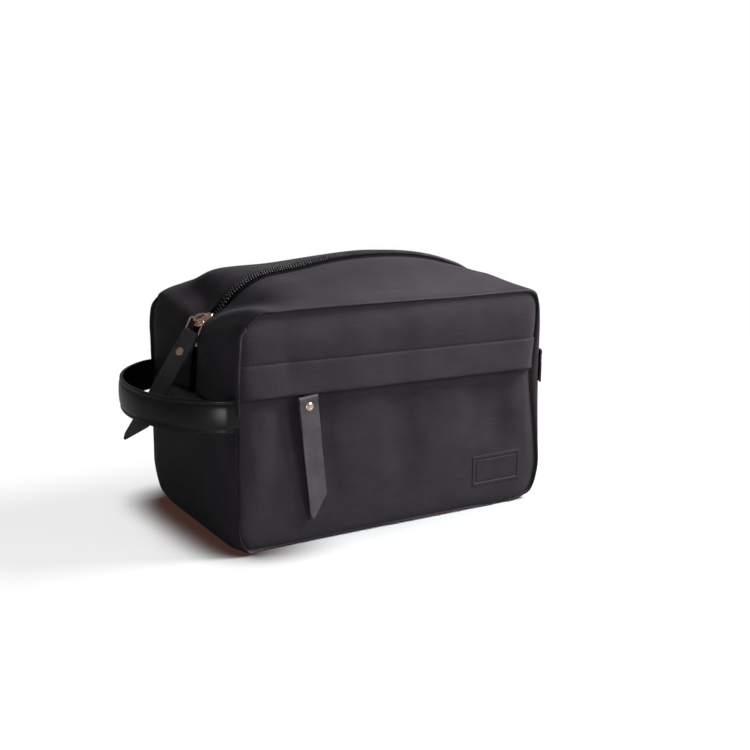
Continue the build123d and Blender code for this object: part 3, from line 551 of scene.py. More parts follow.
# The gusset is the strip round the bag's ends, top and base. Its edges turn over onto the front and the back
# as a soft roll, and the seam lies in a groove inside that roll. Over the top it is cut in two halves for the
# main zip.
BACK_SEAM = [
    (-123.2, 97), (-123.4, 119), (-123.2, 139), (-121.4, 146.5), (-115.6, 152.4), (-106.8, 156.4),
    (-98, 158.4), (-82, 159.4), (-48, 160), (0, 160), (48, 160), (82, 159.8), (98, 159.6), (105.5, 159.2),
    (114.5, 156.0), (120.6, 149.5), (123.2, 139), (123.4, 119), (123.2, 97), (123.6, 60), (123.4, 42),
    (123.0, 26), (117.5, 8.6), (105.5, 3.4), (60, 3.2), (0, 3.6), (-60, 3.2), (-105.5, 3.4), (-117.5, 8.6),
    (-123.0, 26), (-123.4, 42), (-123.6, 60)]
BACK_EDGE = [
    (-126.4, 97), (-126.6, 119), (-126.2, 139), (-124.8, 146.5), (-118.5, 153.8), (-108, 158.6),
    (-98, 160.6), (-82, 161.6), (-48, 162), (0, 162), (48, 162), (82, 162), (98, 161.9), (106.5, 161.6),
    (117.2, 157.6), (123.4, 149.5), (125.2, 139), (125.4, 119), (125.2, 97), (125.8, 60), (125.6, 42),
    (125.2, 26), (119.8, 6.0), (107, 0.6), (60, 0.8), (0, 1.2), (-60, 0.8), (-107, 0.6), (-120.8, 5.0),
    (-126.4, 24), (-126.8, 42), (-127.0, 60)]
# The zip runs on one arc over the bag, turns down at both ends and runs on to the side seams
ZIP_RADIUS, ZIP_X, ZIP_Z, BEND = 222.0, 12.5, -38.0, 12.0
ZIP_LEFT, ZIP_RIGHT = -120.0, 121.5
TURN = {-1: asin((ZIP_LEFT + BEND - ZIP_X) / (ZIP_RADIUS - BEND)),
        1: asin((ZIP_RIGHT - BEND - ZIP_X) / (ZIP_RADIUS - BEND))}
MIDDLE = asin(-ZIP_X / ZIP_RADIUS)
# How far along the zip, from the bag's middle, each key of the seam has its counterpart
ZIP_KEYS = [(p, 0) for p in (
    -171.7, -149.7, -136, -131, -126, -120.5, -112, -92, -50.5, 0, 46, 83, 106, 118, 124.5, 130, 141, 161,
    183.3, 205, -194)]


def clear_of_slider(p):
    """0 where the slider stands at either end of its way, 1 between."""
    return smooth(p, -112, -99) * smooth(-p, -113, -100)


def lean(p, y):
    """Over the top the slack zip leans to the front."""
    return clear_of_slider(p) * 0.22 * min(7.0, max(-7.0, y)) * smooth(-abs(y), -30, -8)


def zip_line(p, out):
    """The zip's line in x and z, p millimetres right of the bag's middle and out from it; and its normal."""
    side = -1 if p < 0 else 1
    turn = TURN[side]
    run = abs(turn - MIDDLE) * ZIP_RADIUS
    if abs(p) <= run:
        a = MIDDLE + p / ZIP_RADIUS
        x, z = ZIP_X + ZIP_RADIUS * sin(a), ZIP_Z + ZIP_RADIUS * cos(a)
        z += (7.2 * hump(x, -79, 25) - 1.8 * hump(x, 14, 46)) * clear_of_slider(p)
    else:
        mx, mz = ZIP_X + (ZIP_RADIUS - BEND) * sin(turn), ZIP_Z + (ZIP_RADIUS - BEND) * cos(turn)
        a = turn + side * (abs(p) - run) / BEND
        if abs(a) >= pi / 2:
            down = (abs(a) - pi / 2) * BEND
            a = side * pi / 2
            x, z = mx + side * BEND, mz - down
        else:
            x, z = mx + BEND * sin(a), mz + BEND * cos(a)
    return x + out * sin(a), z + out * cos(a), sin(a), cos(a)


def tail_lift(p):
    """The zip stands out a little further the lower it hangs down an end."""
    return 0.078 * max(0.0, abs(p) - (134.7 if p < 0 else 132.2))


# How far in front of or behind the zip the rows of the top's cloth lie. The first ones are the roll beside
# the seam, each with its share of the way from the seam to the edge. The last ones turn in beside the zip,
# with how far they lie below it.
FLAT_DEPTH = 68.3
ROWS = [(69.0, 0), (70.5, 0.06), (71.4, 0.3), (71.3, 0.62), (70.2, 0.92), (FLAT_DEPTH, 1)]
DEPTHS = [66, 63, 59.5, 55.5, 51, 46, 41, 36, 31, 26, 21.5, 17.5, 14, 11.5, 9.4, 7.6, 6.4, 5.7]
TURNED_IN = [(5.35, 0.9), (5.7, 1.6)]


def rounding(edge, y):
    """How far the cloth of the ends turns in towards the front's and the back's seams."""
    full = smooth(edge.y, 92, 110) if edge.x < 0 else 0.0
    amount = (2.4 + 1.0 * full if edge.x < 0 else -1.9) * smooth(abs(edge.x), 117, 123)
    return amount * max(0.0, (abs(y) - 59 + 8 * full) / (9.3 + 8 * full)) ** 2


def top_point(edge, way, s, y, curl=0.0, inward=0.0):
    """The top gusset's surface at s keys along its edge, y millimetres in front of or behind the zip."""
    b = through(edge, s)
    b.x += rounding(b, y)
    p = through(ZIP_KEYS, s)[0]
    zx, zz, nx, nz = zip_line(p, 1.9 - 1.9 * clear_of_slider(p) + tail_lift(p) - curl)
    over = smooth((zx - b.x) * nx + (zz - b.y) * nz, -9, 9)
    u = min(1.0, (FLAT_DEPTH - y) / (60.8 - 12.5 * over))
    full = 1.0 - 0.15 * smooth(b.x, -80, -40) if way > 0 else 0.9
    crown = full * u * (2 - u) + (1 - full) * min(1.0, (FLAT_DEPTH - y) / 61)
    share = over * crown + (1 - over) * u**2.2
    x, z = b.x + (zx - b.x) * share, b.y + (zz - b.y) * share
    on_top = smooth(-abs(p), -128, -100)
    puff = 1.0 * hump(x, -40, 50) * hump(y, 56, 12) * on_top
    if way > 0:
        puff += (3.0 * hump(x, -90, 22) * hump(y, 42, 20) + 1.5 * hump(x, -60, 26) * hump(y, 34, 18)) * on_top
        puff += 4.4 * hump(x, -90, 15) * hump(y, 46, 20)
    puff += (0.3 + 0.5 * on_top) * wander(x, way * y, z, 40, 7.0) * smooth(y, 8, 20)
    puff -= 0.9 * hump(y, 40, 16) * (1 - on_top) * smooth(z, 97, 125)
    return Vector((x + nx * (puff - inward), way * y, z + nz * (puff - inward) + lean(p, way * y)))


def top_place(seam, edge, way, inward=0.0):
    """Where the top gusset's cloth lies, at s keys along the seam and so many rows from it."""

    def at(s, row):
        if row < len(ROWS):
            a, b = through(seam, s), through(edge, s)
            b.x += rounding(b, FLAT_DEPTH)
            y, share = ROWS[row]
            x, z = a + (b - a) * share
            if seam is FRONT_SEAM:
                swell = 2.2 * smooth(s, 4.8, 5.6) * (1 - smooth(s, 8, 11))
                y += (swell - 1.5 * hump(s, 3.0, 0.4) - 0.8 * (1 - smooth(s, 3, 3.6))) * share
            return x, way * y, z
        k = row - len(ROWS)
        if k < len(DEPTHS):
            return top_point(edge, way, s, DEPTHS[k], 0.0, inward)
        return top_point(edge, way, s, *TURNED_IN[k - len(DEPTHS)], inward)

    return at


def columns(start, end, steps):
    """Key counts from start to end, with so many steps between one key and the next."""
    found = [start]
    way = 1 if end > start else -1
    for n in range(abs(end - start)):
        count = steps[min(n, len(steps) - 1)]
        found += [start + way * (n + (k + 1) / count) for k in range(count)]
    return found


# The top in four quarters: their half and hand, their seam and outer edge, which way from the zip they lie,
# and the key where they start at a side seam. They meet at the crest.
Quarter = namedtuple("Quarter", "half hand seam edge way start")
HALVES = (("front", FRONT_SEAM, FRONT_EDGE, -1), ("rear", BACK_SEAM, BACK_EDGE, 1))
QUARTERS = [Quarter(half, hand, seam, edge, way, start) for half, seam, edge, way in HALVES
            for hand, start in (("left", LEFT_KEY), ("right", RIGHT_KEY))]


def bend_with(piece, quarter):
    """Bakes the piece's place into its mesh, alike for either hand."""
    if quarter.hand == "left":
        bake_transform(piece)
    else:
        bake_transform(piece)


# Smooth polyester lining with a fine weave, drawn 0.6 mm apart instead of 0.2 mm, and a silky shine
lining_cloth = woven("polyester_lining", "#1e1d20", "#2b292e", 0.6, 0.42, 0.25, 0.1, 0.06)
all_rows = list(range(len(ROWS) + len(DEPTHS) + len(TURNED_IN)))
lining_rows = all_rows[len(ROWS) + 1:len(ROWS) + 12]
for q in QUARTERS:
    name = q.half + "_" + q.hand
    strip = cloth(name + "_gusset_cloth", columns(q.start, CREST_KEY, [6, 6, 5, 6, 6, 4, 5, 9, 12]), all_rows,
                  top_place(q.seam, q.edge, q.way))
    finish(strip, coated_nylon, stands_for=[q.hand + "_top_end", q.half + "_top_fabric"])
    bend_with(strip, q)

    begin = 6 if q.hand == "left" else 12
    lining = cloth(name + "_top_lining", columns(begin, CREST_KEY, [5, 9, 12]), lining_rows,
                   top_place(q.seam, q.edge, q.way, 1.9), thick=0.6)
    finish(lining, lining_cloth, stands_for=[q.half + "_top_lining"])
    bend_with(lining, q)

# The ends and the base are the gusset's lower part, from one side seam down, under the bag and up to the
# other. At its edges a depth counts the rows of the roll, one to the millimetre from FIRST_ROW on.
FIRST_ROW = 69


def lower_place(s, y):
    """The lower gusset at s keys and a depth y. Its rolled edges follow the front's and the back's seams."""
    front, rear = through(FRONT_EDGE, s), through(BACK_EDGE, s)
    front.x += rounding(front, min(FLAT_DEPTH, max(0, -y)))
    rear.x += rounding(rear, min(FLAT_DEPTH, max(0, y)))
    if abs(y) > FLAT_DEPTH:
        way, seam, edge = (-1, FRONT_SEAM, front) if y < 0 else (1, BACK_SEAM, rear)
        inner = through(seam, s)
        depth, share = ROWS[round(abs(y)) - FIRST_ROW]
        corner = hump(s, 28.3, 0.9) if y < 0 else 0.0
        flatter = 0.45 if y < 0 and inner.x < 0 else 0.1
        height = 1 - flatter - 0.5 * smooth(-inner.y, -9, -4) * (1 - corner) + 1.6 * corner
        x, z = inner + (edge - inner) * share
        return x, way * (FIRST_ROW + (depth - FIRST_ROW) * height), z
    share = (y + FLAT_DEPTH) / (2 * FLAT_DEPTH)
    x, z = front + (rear - front) * share
    z -= z * smooth(abs(y), 68, 52) * smooth(z, 6, 2.5)
    out = Vector((x, z - 60)).normalized()
    swell = (0.5 * wander(x, y, z, 36, 11.0) + 0.5 * cos(pi * y / (2 * FLAT_DEPTH))) * smooth(z, 6, 30)
    swell += 1.3 * hump(z, 95.6, 1.7) * smooth(-abs(y), -66, -58)
    return x + (1 if x > 0 else -1) * swell * abs(out.x), y, z


rolled = [FIRST_ROW + k for k in range(5)]
flat_part = [-FLAT_DEPTH + 2 * FLAT_DEPTH * t for t in spread(24, 0.6)]
depths = [-y for y in rolled] + flat_part + rolled[::-1]
for name, start, end, nodes in (
        ("left_end_cloth", KEYS, BASE_LEFT, ["left_end_panel"]),
        ("right_end_cloth", RIGHT_KEY, BASE_RIGHT, ["right_end_panel"]),
        ("base_cloth", BASE_RIGHT, BASE_LEFT, ["bottom_gusset"])):
    strip = cloth(name, columns(start, end, [14, 8, 6, 6, 6]), depths, lower_place)
    finish(strip, coated_nylon, "bag_body", stands_for=nodes)

# The back is one plain cloth, slightly full, with no pocket.
BACK_LEFT = sampled(BACK_SEAM, BASE_LEFT, 1, 10)
BACK_RIGHT = sampled(BACK_SEAM, BASE_RIGHT, -1, 10)
BACK_TOP = sampled(BACK_SEAM, 5, 1, 8)


def back_place(f, h):
    z0 = 3.4 + (read_off(BACK_TOP, -106.8 + 212.3 * f, 0, 1) - 3.4) * h
    left, right = read_off(BACK_LEFT, z0), read_off(BACK_RIGHT, z0)
    x = left + (right - left) * f
    inside = max(0.0, min(x - left, right - x, z0 - 3.3, 160 - z0))
    y = 68.8 + 1.8 * (1 - exp(-inside / 2.8)) + 0.9 * (1 - exp(-inside / 25))
    y += 0.8 * wander(x, 40, z0, 45, 3.0) * smooth(inside, 0, 20)
    return x, y, z0


back_cloth = cloth("back_cloth", spread(50, 0.9), spread(40, 0.9), back_place)
finish(back_cloth, coated_nylon, "bag_body", stands_for=["back_panel"])

# The seams round the front and the back: a thin roll of the cloth's turned edges at the bottom of the groove.


def wire(name, spots, thick, sides=3):
    """A closed round wire or roll through spots, made as a curve and turned into a mesh."""
    line = bpy.data.curves.new(name, "CURVE")
    line.dimensions = "3D"
    line.bevel_depth = thick * MM
    line.bevel_resolution = sides
    run = line.splines.new("POLY")
    run.points.add(len(spots) - 1)
    for point, spot in zip(run.points, spots):
        point.co = (*(Vector(spot) * MM), 1)
    run.use_cyclic_u = True
    piece = bpy.data.objects.new(name, line)
    bpy.context.scene.collection.objects.link(piece)
    bpy.ops.object.select_all(action="DESELECT")
    piece.select_set(True)
    bpy.context.view_layer.objects.active = piece
    bpy.ops.object.convert(target="MESH")
    made = bpy.context.object

    def clean():
        bpy.ops.mesh.remove_doubles(threshold=1e-6)
        bpy.ops.mesh.normals_make_consistent(inside=False)

    edit(made, clean)
    smooth_shade(made, 60)
    return made


for face, keys, y in (("front", FRONT_SEAM, -68.8), ("back", BACK_SEAM, 69.2)):
    spots = [through(keys, s / 8) for s in range(KEYS * 8)]
    spots = [(x, y + 0.1 * wander(x, y, z, 12), z) for x, z in spots]
    finish(wire(face + "_seam_roll", spots, 0.6), coated_nylon, "bag_body",
           stands_for=[face + "_seam_bead"])

# The main zip's tapes are woven polyester, sewn under the folded edges of the top's cloth.
# They run down both ends to the side seams, and a row of stitches beside the zip holds each one to the cloth.
# A close dull weave, darker than the coated cloth; its threads are drawn 0.7 mm apart instead of 0.3 mm
tape_weave = woven("woven_tape", "#09080a", "#131114", 0.7, 0.75, 0.5, 0.0, 0.15)


def tape_place(way):
    """Where the tape on one side of the zip lies, p millimetres along it and y away from its middle."""

    def at(p, y):
        if y < 2:
            y = 1.8 - 1.7 * smooth(abs(p), 130, 133)
        under_coil = 2.0 * smooth(-y, -5.4, -2.2) - 1.9
        x, z, _, _ = zip_line(p, 0.45 + under_coil * clear_of_slider(p) + tail_lift(p))
        z -= (2.2 if way < 0 else 3.2) * smooth(y, 4, 20) * clear_of_slider(p)
        return x, way * y, z + lean(p, way * y)

    return at


def track(spots):
    """A line through spots: its length, and a function that gives the spot and direction at a distance."""
    marks = [0.0]
    for a, b in zip(spots, spots[1:]):
        marks.append(marks[-1] + (b - a).length)

    def at(distance):
        k = min(max(bisect_right(marks, distance) - 1, 0), len(spots) - 2)
        step = spots[k + 1] - spots[k]
        return spots[k] + step * (distance - marks[k]) / (marks[k + 1] - marks[k]), step.normalized()

    return marks[-1], at


for q in QUARTERS:
    name = q.half + "_" + q.hand
    low_end = -170.7 if q.hand == "left" else 182.5
    tape = cloth(name + "_zip_tape", [low_end * (1 - k / 50) for k in range(51)],
                 [1.8, 2.2, 3, 3.8, 4.6, 5.4, 6.5, 9, 12, 15, 15.8], tape_place(q.way), thick=0.7)
    finish(tape, tape_weave, stands_for=[q.half + "_zip_tape", q.hand + "_zip_end_tape"])
    bend_with(tape, q)

    marks = columns(q.start, CREST_KEY, [6, 6, 5, 6, 6, 6, 8, 12, 14])
    spots = [top_point(q.edge, q.way, s, 9.9) for s in marks]
    length, at = track(spots if q.hand == "left" else spots[::-1])

    def edge_row(distance, across, height):
        spot, on = at(distance)
        return spot + Vector((-on.z, 0, on.x)) * (height + 0.08) + Vector((0, across, 0))

    row = stitches(name + "_zip_stitches", length - 4, edge_row)
    bend_with(row, q)

# The main zip's coils: one nylon wire wound into close loops along each tape's edge.
# The loops of the two tapes lock into each other from the slider on, over the whole top.


def grained(name, dark, light, rough, grain, deep, settings=None, weight=0.5):
    """A solid surface with an even grain as relief, and slow changes of tone and gloss."""
    made = empty_material(name)
    tree = made.node_tree
    where = node(tree, "TexCoord").outputs["Object"]
    cells = node(tree, "TexVoronoi", {"Scale": 1 / (grain * MM)}, {"Vector": where}).outputs["Distance"]
    speckled = {"Scale": 0.7 / (grain * MM), "Detail": 4.0}
    fine = node(tree, "TexNoise", speckled, {"Vector": where}).outputs["Fac"]
    slow = node(tree, "TexNoise", {"Scale": 60.0, "Detail": 3.0}, {"Vector": where}).outputs["Fac"]
    tone = node(tree, "Math", {"operation": "MULTIPLY_ADD", 1: 0.4}, {0: fine, 2: slow})
    spread_out = {"From Min": 0.3, "From Max": 0.7, "To Min": rough - 0.05, "To Max": rough + 0.08}
    gloss = node(tree, "MapRange", spread_out, {"Value": slow})
    relief = node(tree, "Math", {"operation": "MULTIPLY_ADD", 1: 0.5}, {0: fine, 2: cells})
    return surfaced(made, settings, (dark, light), (0.45, 0.95), tone, relief, weight, deep, gloss)


# Nylon wire, smooth and half glossy, so that every loop carries a small light
coil_nylon = grained("coil_nylon", "#434145", "#5f5c61", 0.34, 0.5, 0.02)
PITCH = 2.0
for q in QUARTERS:
    first, last = (-128.0, 0.0) if q.hand == "left" else (0.0, 126.0)

    def tooth(a, b, c):
        p = first + PITCH / 4 + (PITCH / 2 if q.way > 0 else 0) + a
        closed = 1 - smooth(-p, 109, 112)
        reach = max(1.45 + b, 0.7 * (1 - closed) - closed)
        x, z, _, _ = zip_line(p, 0.15 + 1.2 * clear_of_slider(p) + c)
        return x, q.way * reach, z + lean(p, q.way * reach)

    coil = repeated(f"{q.half}_{q.hand}_zip_coil", int((last - first) / PITCH), PITCH, (0.52, 1.8, 1.1),
                    tooth, coil_nylon, segments=8)
    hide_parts(q.half + "_zip_coil", q.hand + "_zip_end_coil")
    bend_with(coil, q)

# The main zip's slider is cast metal, plated rose gold: two plates round the coils, joined by a post, and a
# bridge on top that holds the ring. The ring, the pocket zip's slider and the end stops are of the same metal.
# Plated zinc, smooth with the faint waviness of a casting
rose_gold = grained("rose_gold_plating", "#efc2aa", "#f9dfd0", 0.27, 1.2, 0.03, {"Metallic": 1.0}, 0.25)


def placed(piece, origin, x_way, y_way, z_way):
    """Turns and moves a piece's points from a drawing about the origin, in millimetres, to their place."""
    turn = Matrix((x_way, y_way, z_way)).transposed()
    for v in piece.data.vertices:
        v.co = (Vector(origin) + turn @ (v.co / MM)) * MM
    return piece


def round_edges(piece, width, angle, steps=2):
    """Rounds the edges that turn by more than an angle in degrees."""
    fix(piece, "BEVEL", width=width * MM, segments=steps, limit_method="ANGLE", angle_limit=radians(angle))


def block(name, corners, low, high, bevel):
    """A plate with this outline, with its edges rounded."""
    bpy.ops.object.select_all(action="DESELECT")
    bpy.ops.mesh.primitive_circle_add(vertices=len(corners), radius=1, fill_type="NGON")
    piece = bpy.context.object
    piece.name = piece.data.name = name
    for v, (x, y) in zip(piece.data.vertices, corners):
        v.co = Vector((x, y, low)) * MM

    def raise_it():
        bpy.ops.mesh.extrude_region_move(TRANSFORM_OT_translate={"value": (0, 0, (high - low) * MM)})
        bpy.ops.mesh.select_all(action="SELECT")
        bpy.ops.mesh.normals_make_consistent(inside=False)

    edit(piece, raise_it)
    if bevel:
        round_edges(piece, bevel, 30, steps=3)
    smooth_shade(piece, 35)
    return piece


def joined(name, pieces):
    bpy.ops.object.select_all(action="DESELECT")
    for piece in pieces:
        piece.select_set(True)
    bpy.context.view_layer.objects.active = pieces[0]
    bpy.ops.object.join()
    pieces[0].name = pieces[0].data.name = name
    return pieces[0]


def box(x0, x1, y0, y1):
    return [(x0, y0), (x1, y0), (x1, y1), (x0, y1)]


SLIDER_X = -113.5
slant = asin((SLIDER_X - ZIP_X) / ZIP_RADIUS)
along, out = Vector((cos(slant), 0, -sin(slant))), Vector((sin(slant), 0, cos(slant)))
outline = [(-7, -2.6), (-3, -4.8), (5, -4.8), (7, -3.2), (7, 3.2), (5, 4.8), (-3, 4.8), (-7, 2.6)]
metal = [
    block("upper_plate", outline, 1.7, 3.0, 0.4),
    block("lower_plate", outline, -3.0, -1.7, 0.4),
    block("post", box(1.4, 3.9, -0.36, 0.36), -1.9, 1.9, 0),
    block("rim", box(-2.4, 4.8, 3.7, 4.75), 0.85, 2.2, 0.2),
    block("rim", box(-2.4, 4.8, -4.75, -3.7), 0.85, 2.2, 0.2)]
arch = [(-5.4, 2.4), (-5.6, 4.2), (-5.6, 6.2), (-5.0, 7.5), (-3.6, 8.2), (-1.6, 8.1), (0.6, 7.5), (2.6, 6.3),
        (4.0, 4.6), (4.5, 2.4)]
bridge = cloth("bridge", [-1.6, -1.5, 1.5, 1.6], list(range(len(arch))),
               lambda a, b: (arch[b][0], a, arch[b][1]), thick=1.2, middle=(0, 0, 3), finer=2)
round_edges(bridge, 0.25, 50)
metal.append(bridge)
for part in metal:
    placed(part, (SLIDER_X, 0, ZIP_Z + ZIP_RADIUS * cos(slant)), along, (0, 1, 0), out)
slider = joined("slider_and_bridge", metal)
finish(slider, rose_gold, "main_slider", ["zip_slider"])


def coat(name, material):
    """Gives its material to a CAD part that shows as it is."""
    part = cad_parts[name]
    part.data.materials.clear()
    part.data.materials.append(material)


for name in ("zip_stops", "pocket_zip_stops", "pocket_slider", "pocket_slider_link"):
    coat(name, rose_gold)

# The ring is a wire bent to a rounded oblong. It hangs turned by TWIST degrees about its own length
TWIST, RING_HALF_WIDTH, RING_CORNER = -26, 5.9, 1.9
hinge, bar = Vector((-119.427, 0, 147.738)), Vector((-124.2, 0, 137.9))
reach = (bar - hinge).length
corner = [(RING_CORNER * (1 - cos(radians(a))), RING_HALF_WIDTH - RING_CORNER * (1 - sin(radians(a))))
          for a in range(0, 91, 15)]
quarter = corner + [(reach - u, w) for u, w in corner[::-1]]
loop = quarter + [(u, -w) for u, w in quarter[::-1]]
turned = Quaternion((bar - hinge).normalized(), radians(TWIST)) @ Vector((0, -1, 0))
ring = wire("ring_wire", [hinge + (bar - hinge) * u / reach + turned * w for u, w in loop], 0.8, sides=4)
finish(ring, rose_gold, "main_ring", ["zip_slider_ring"])

# The two pulls are strips of grey leather, folded round a metal bar and held by a rivet through both layers.
# Each is cut to a slanted point at its free end.
# Grey split leather with a fine open grain and a dull surface
pull_leather = grained("grey_leather", "#3f3c40", "#59555a", 0.55, 0.9, 0.12, {"Specular IOR Level": 0.4})


def leather_pull(name, origin, down, right, out, reach, neck, bow=0.0):
    """A pull that hangs from origin: it starts behind, goes over the bar and ends at its point in front.

    It passes the bar at a distance reach, is narrowed to half a width neck there, and bends inwards by bow.
    """
    over = [(-reach * cos(radians(a)), reach * sin(radians(a))) for a in range(-75, 76, 25)]
    # The folded part, as distances down the pull and out from its middle, then shares of the way to the end
    path = [(22, -1.4), (21, -1.45), (14, -1.4), (8, -1.42), (4, -1.5), (2.6, -1.8), (1.2, -0.95 * reach),
            *over, (1.2, 0.95 * reach), (2.6, 1.8), (4, 1.5), (8, 1.42), (14, 1.4), (20, 1.4), (25, 1.1),
            (30, 0.8)]
    rest = [0.1, 0.2, 0.3, 0.4, 0.5, 0.6, 0.7, 0.8, 0.88, 0.94, 0.98, 1.0]
    half, folded, (tip_u, tip_v), left_v, right_v = 7, 30, (-5.1, 86), 81, 69.5

    def at(share, row):
        u = half * share
        if row < len(path):
            v, t = path[row]
            t -= bow * hump(v, 30, 24) * smooth(v, 1, 8)
            u *= (neck + (half - neck) * smooth(v, 0.5, 7)) / half
        else:
            if u > tip_u:
                end = tip_v - (u - tip_u) / (half - tip_u) * (tip_v - right_v)
            else:
                end = left_v + (u + half) / (tip_u + half) * (tip_v - left_v)
            part = rest[row - len(path)]
            v = folded + (end - folded) * part
            t = 0.8 - bow * hump(v, 30, 24) - 3.2 * bow * smooth(v, 32, 60)
            t += 0.35 * sin(pi * part) * smooth(v, 30, 80) + 0.12 * wander(u, v, 0, 9, 5.0)
        return origin + down * v + right * u + out * t

    piece = cloth(name, [-1, -0.985, -0.9, -0.73, -0.5, -0.25, 0, 0.25, 0.5, 0.75, 0.92, 0.985, 1],
                  list(range(len(path) + len(rest))), at, thick=1.35, middle=origin + down * 40 - out * 30)
    round_edges(piece, 0.22, 60)
    smooth_shade(piece, 35)
    return piece


def rivet(name, centre, right, up, out, body, stands_for):
    """A domed head in front, a shaft and a flat head behind. The centre is that of the leather."""
    parts = []
    head, shaft, foot = (3.0, 1.3, 1.8, True), (1.2, -1.6, 1.5, False), (2.4, -1.75, -1.35, False)
    for radius, low, high, domed in (head, shaft, foot):
        bpy.ops.object.select_all(action="DESELECT")
        bpy.ops.mesh.primitive_cylinder_add(vertices=32, radius=radius * MM, depth=(high - low) * MM)
        part = bpy.context.object
        part.data.transform(Matrix.Translation((0, 0, (high + low) / 2 * MM)))
        if domed:
            for face in part.data.polygons:
                face.select = face.normal.z > 0.9
            bpy.context.tool_settings.mesh_select_mode = (False, False, True)
            bpy.ops.object.mode_set(mode="EDIT")
            for width, rise in ((0.45, 0.0), (0.25, 0.18), (0.5, 0.2), (0.7, 0.13), (0.6, 0.04)):
                bpy.ops.mesh.inset(thickness=width * MM, depth=rise * MM)
            bpy.ops.object.mode_set(mode="OBJECT")
            bpy.context.tool_settings.mesh_select_mode = (True, False, False)
            round_edges(part, 0.14, 50)
        parts.append(placed(part, centre, right, up, out))
    piece = joined(name, parts)
    edit(piece, lambda: bpy.ops.mesh.normals_make_consistent(inside=False))
    smooth_shade(piece, 35)
    return finish(piece, rose_gold, body, stands_for)


# The main pull hangs from the ring's bar and faces the way that the ring is turned
hang = radians(35)
down = Vector((-sin(hang), 0, -cos(hang)))
out = down.cross(turned).normalized()
right = out.cross(down)
main_pull = leather_pull("main_zip_pull", bar, down, right, out, 2.4, 6.2, 0.6)
finish(main_pull, pull_leather, "main_pull", ["zip_pull_leather"])
rivet("main_pull_rivet", bar + down * 14.5 - out * 0.45, right, -down, out, "main_pull", ["zip_pull_rivet"])

# The pocket's pull hangs flat before the cloth, slotted where its slider's link goes through
tilt = radians(6.22)
down, right = Vector((sin(tilt), 0, -cos(tilt))), Vector((cos(tilt), 0, sin(tilt)))
bar, out = Vector((-74.07, -72.75, 102.309)), Vector((0, -1, 0))
pocket_pull = leather_pull("pocket_zip_pull", bar, down, right, out, 2.25, 7.0)
slot_cut = block("slot_cut", box(-1.7, 1.7, -0.4, 6), -0.9, 6, 0)
placed(slot_cut, bar, right, -out, -down)
fix(pocket_pull, "BOOLEAN", operation="DIFFERENCE", object=slot_cut)
bpy.data.objects.remove(slot_cut)
finish(pocket_pull, pull_leather, "pocket_pull", ["pocket_pull_leather"])
rivet("pocket_pull_rivet_head", bar + down * 5.4, right, -down, out, "pocket_pull", ["pocket_pull_rivet"])

# The carrying strap is glossy black leather, folded over a thin filling and stitched along both edges.
# It stands out from the left end as a loop and is sewn into the front's and the back's side seams.
STRAP_X, STRAP_R, STRAP_Z, STRAP_END = -98.55, 76.45, 95.65, 71.3
# Coated leather with a tight grain and a polish that gives long soft lights
strap_leather = grained("glossy_leather", "#0f0e10", "#18161a", 0.25, 0.8, 0.03, {"Specular IOR Level": 0.42},
                        0.15)


def strap_round(angle, radius, height):
    """A point of the strap, whose ends turn in to the side seams."""
    x, y = STRAP_X - radius * cos(radians(angle)), radius * sin(radians(angle))
    x += 3.3 * cos(radians(angle) * 1.25) ** 2
    y -= (1 if y > 0 else -1) * 1.9 * smooth(abs(angle), 64, STRAP_END)
    return x, y, STRAP_Z + height + 0.5 * wander(x, y, 0, 60, 9.0)


STITCH_ROW, STRAP_HALF = 8.7, 11.05
OUTER_FACE, INNER_FACE = STRAP_R - 0.5, STRAP_R - 3.1


def strap_relief(w):
    """How far the face stands out: full in the middle, drawn in by the stitches and rounded at its edges."""
    full = 0.85 * max(0.0, 1 - (abs(w) / 8.4) ** 2) ** 0.7
    return full - 0.3 * hump(abs(w), STITCH_ROW, 0.6) - 0.45 * smooth(abs(w), 10.2, STRAP_HALF)


upper_half = [3, 5.5, 7.4, 8.3, STITCH_ROW, 9.0, 9.6, 10.3, 10.85, STRAP_HALF]
widths = [-w for w in upper_half[::-1]] + [0] + upper_half
angles = [-STRAP_END + 2 * STRAP_END * k / 70 for k in range(71)]
strap_outer = cloth("strap_outer", angles, widths,
                    lambda a, w: strap_round(a, OUTER_FACE + strap_relief(w), w),
                    thick=1.25, middle=(STRAP_X, 0, STRAP_Z))
strap_inner = cloth("strap_inner", angles, widths,
                    lambda a, w: strap_round(a, INNER_FACE - 0.4 * strap_relief(w), w),
                    thick=1.2, middle=(-500, 0, STRAP_Z))
for piece, stands_for in ((strap_outer, "strap_face"), (strap_inner, "strap_backing")):
    round_edges(piece, 0.25, 60)
    smooth_shade(piece, 35)
    finish(piece, strap_leather, stands_for=[stands_for])
    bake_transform(piece)

half_way = 68 * pi / 180 * STRAP_R
for name, w in (("upper", STITCH_ROW), ("lower", -STITCH_ROW)):

    def strap_row(distance, side, height):
        angle = (distance - half_way) / STRAP_R * 180 / pi
        return strap_round(angle, OUTER_FACE + strap_relief(w) + height + 0.05, w + side)

    row = stitches(name + "_strap_stitches", 2 * half_way, strap_row, pitch=3.4, long=2.5, thick=0.36)
    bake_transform(row)

# The label patch is a blank moulded piece with a groove inside its rim, glued to the pocket's front.
# Black rubber, matt, with a very fine cast texture
patch_rubber = grained("patch_rubber", "#29262a", "#343035", 0.55, 0.35, 0.04, {"Specular IOR Level": 0.2})
PATCH_X, PATCH_Z, PATCH_WIDE, PATCH_HIGH = 64, 17, 43, 23
patch_base = min(pocket_depth(PATCH_X + PATCH_WIDE * k / 4, PATCH_Z + PATCH_HIGH * m / 4)
                 for k in range(5) for m in range(5))


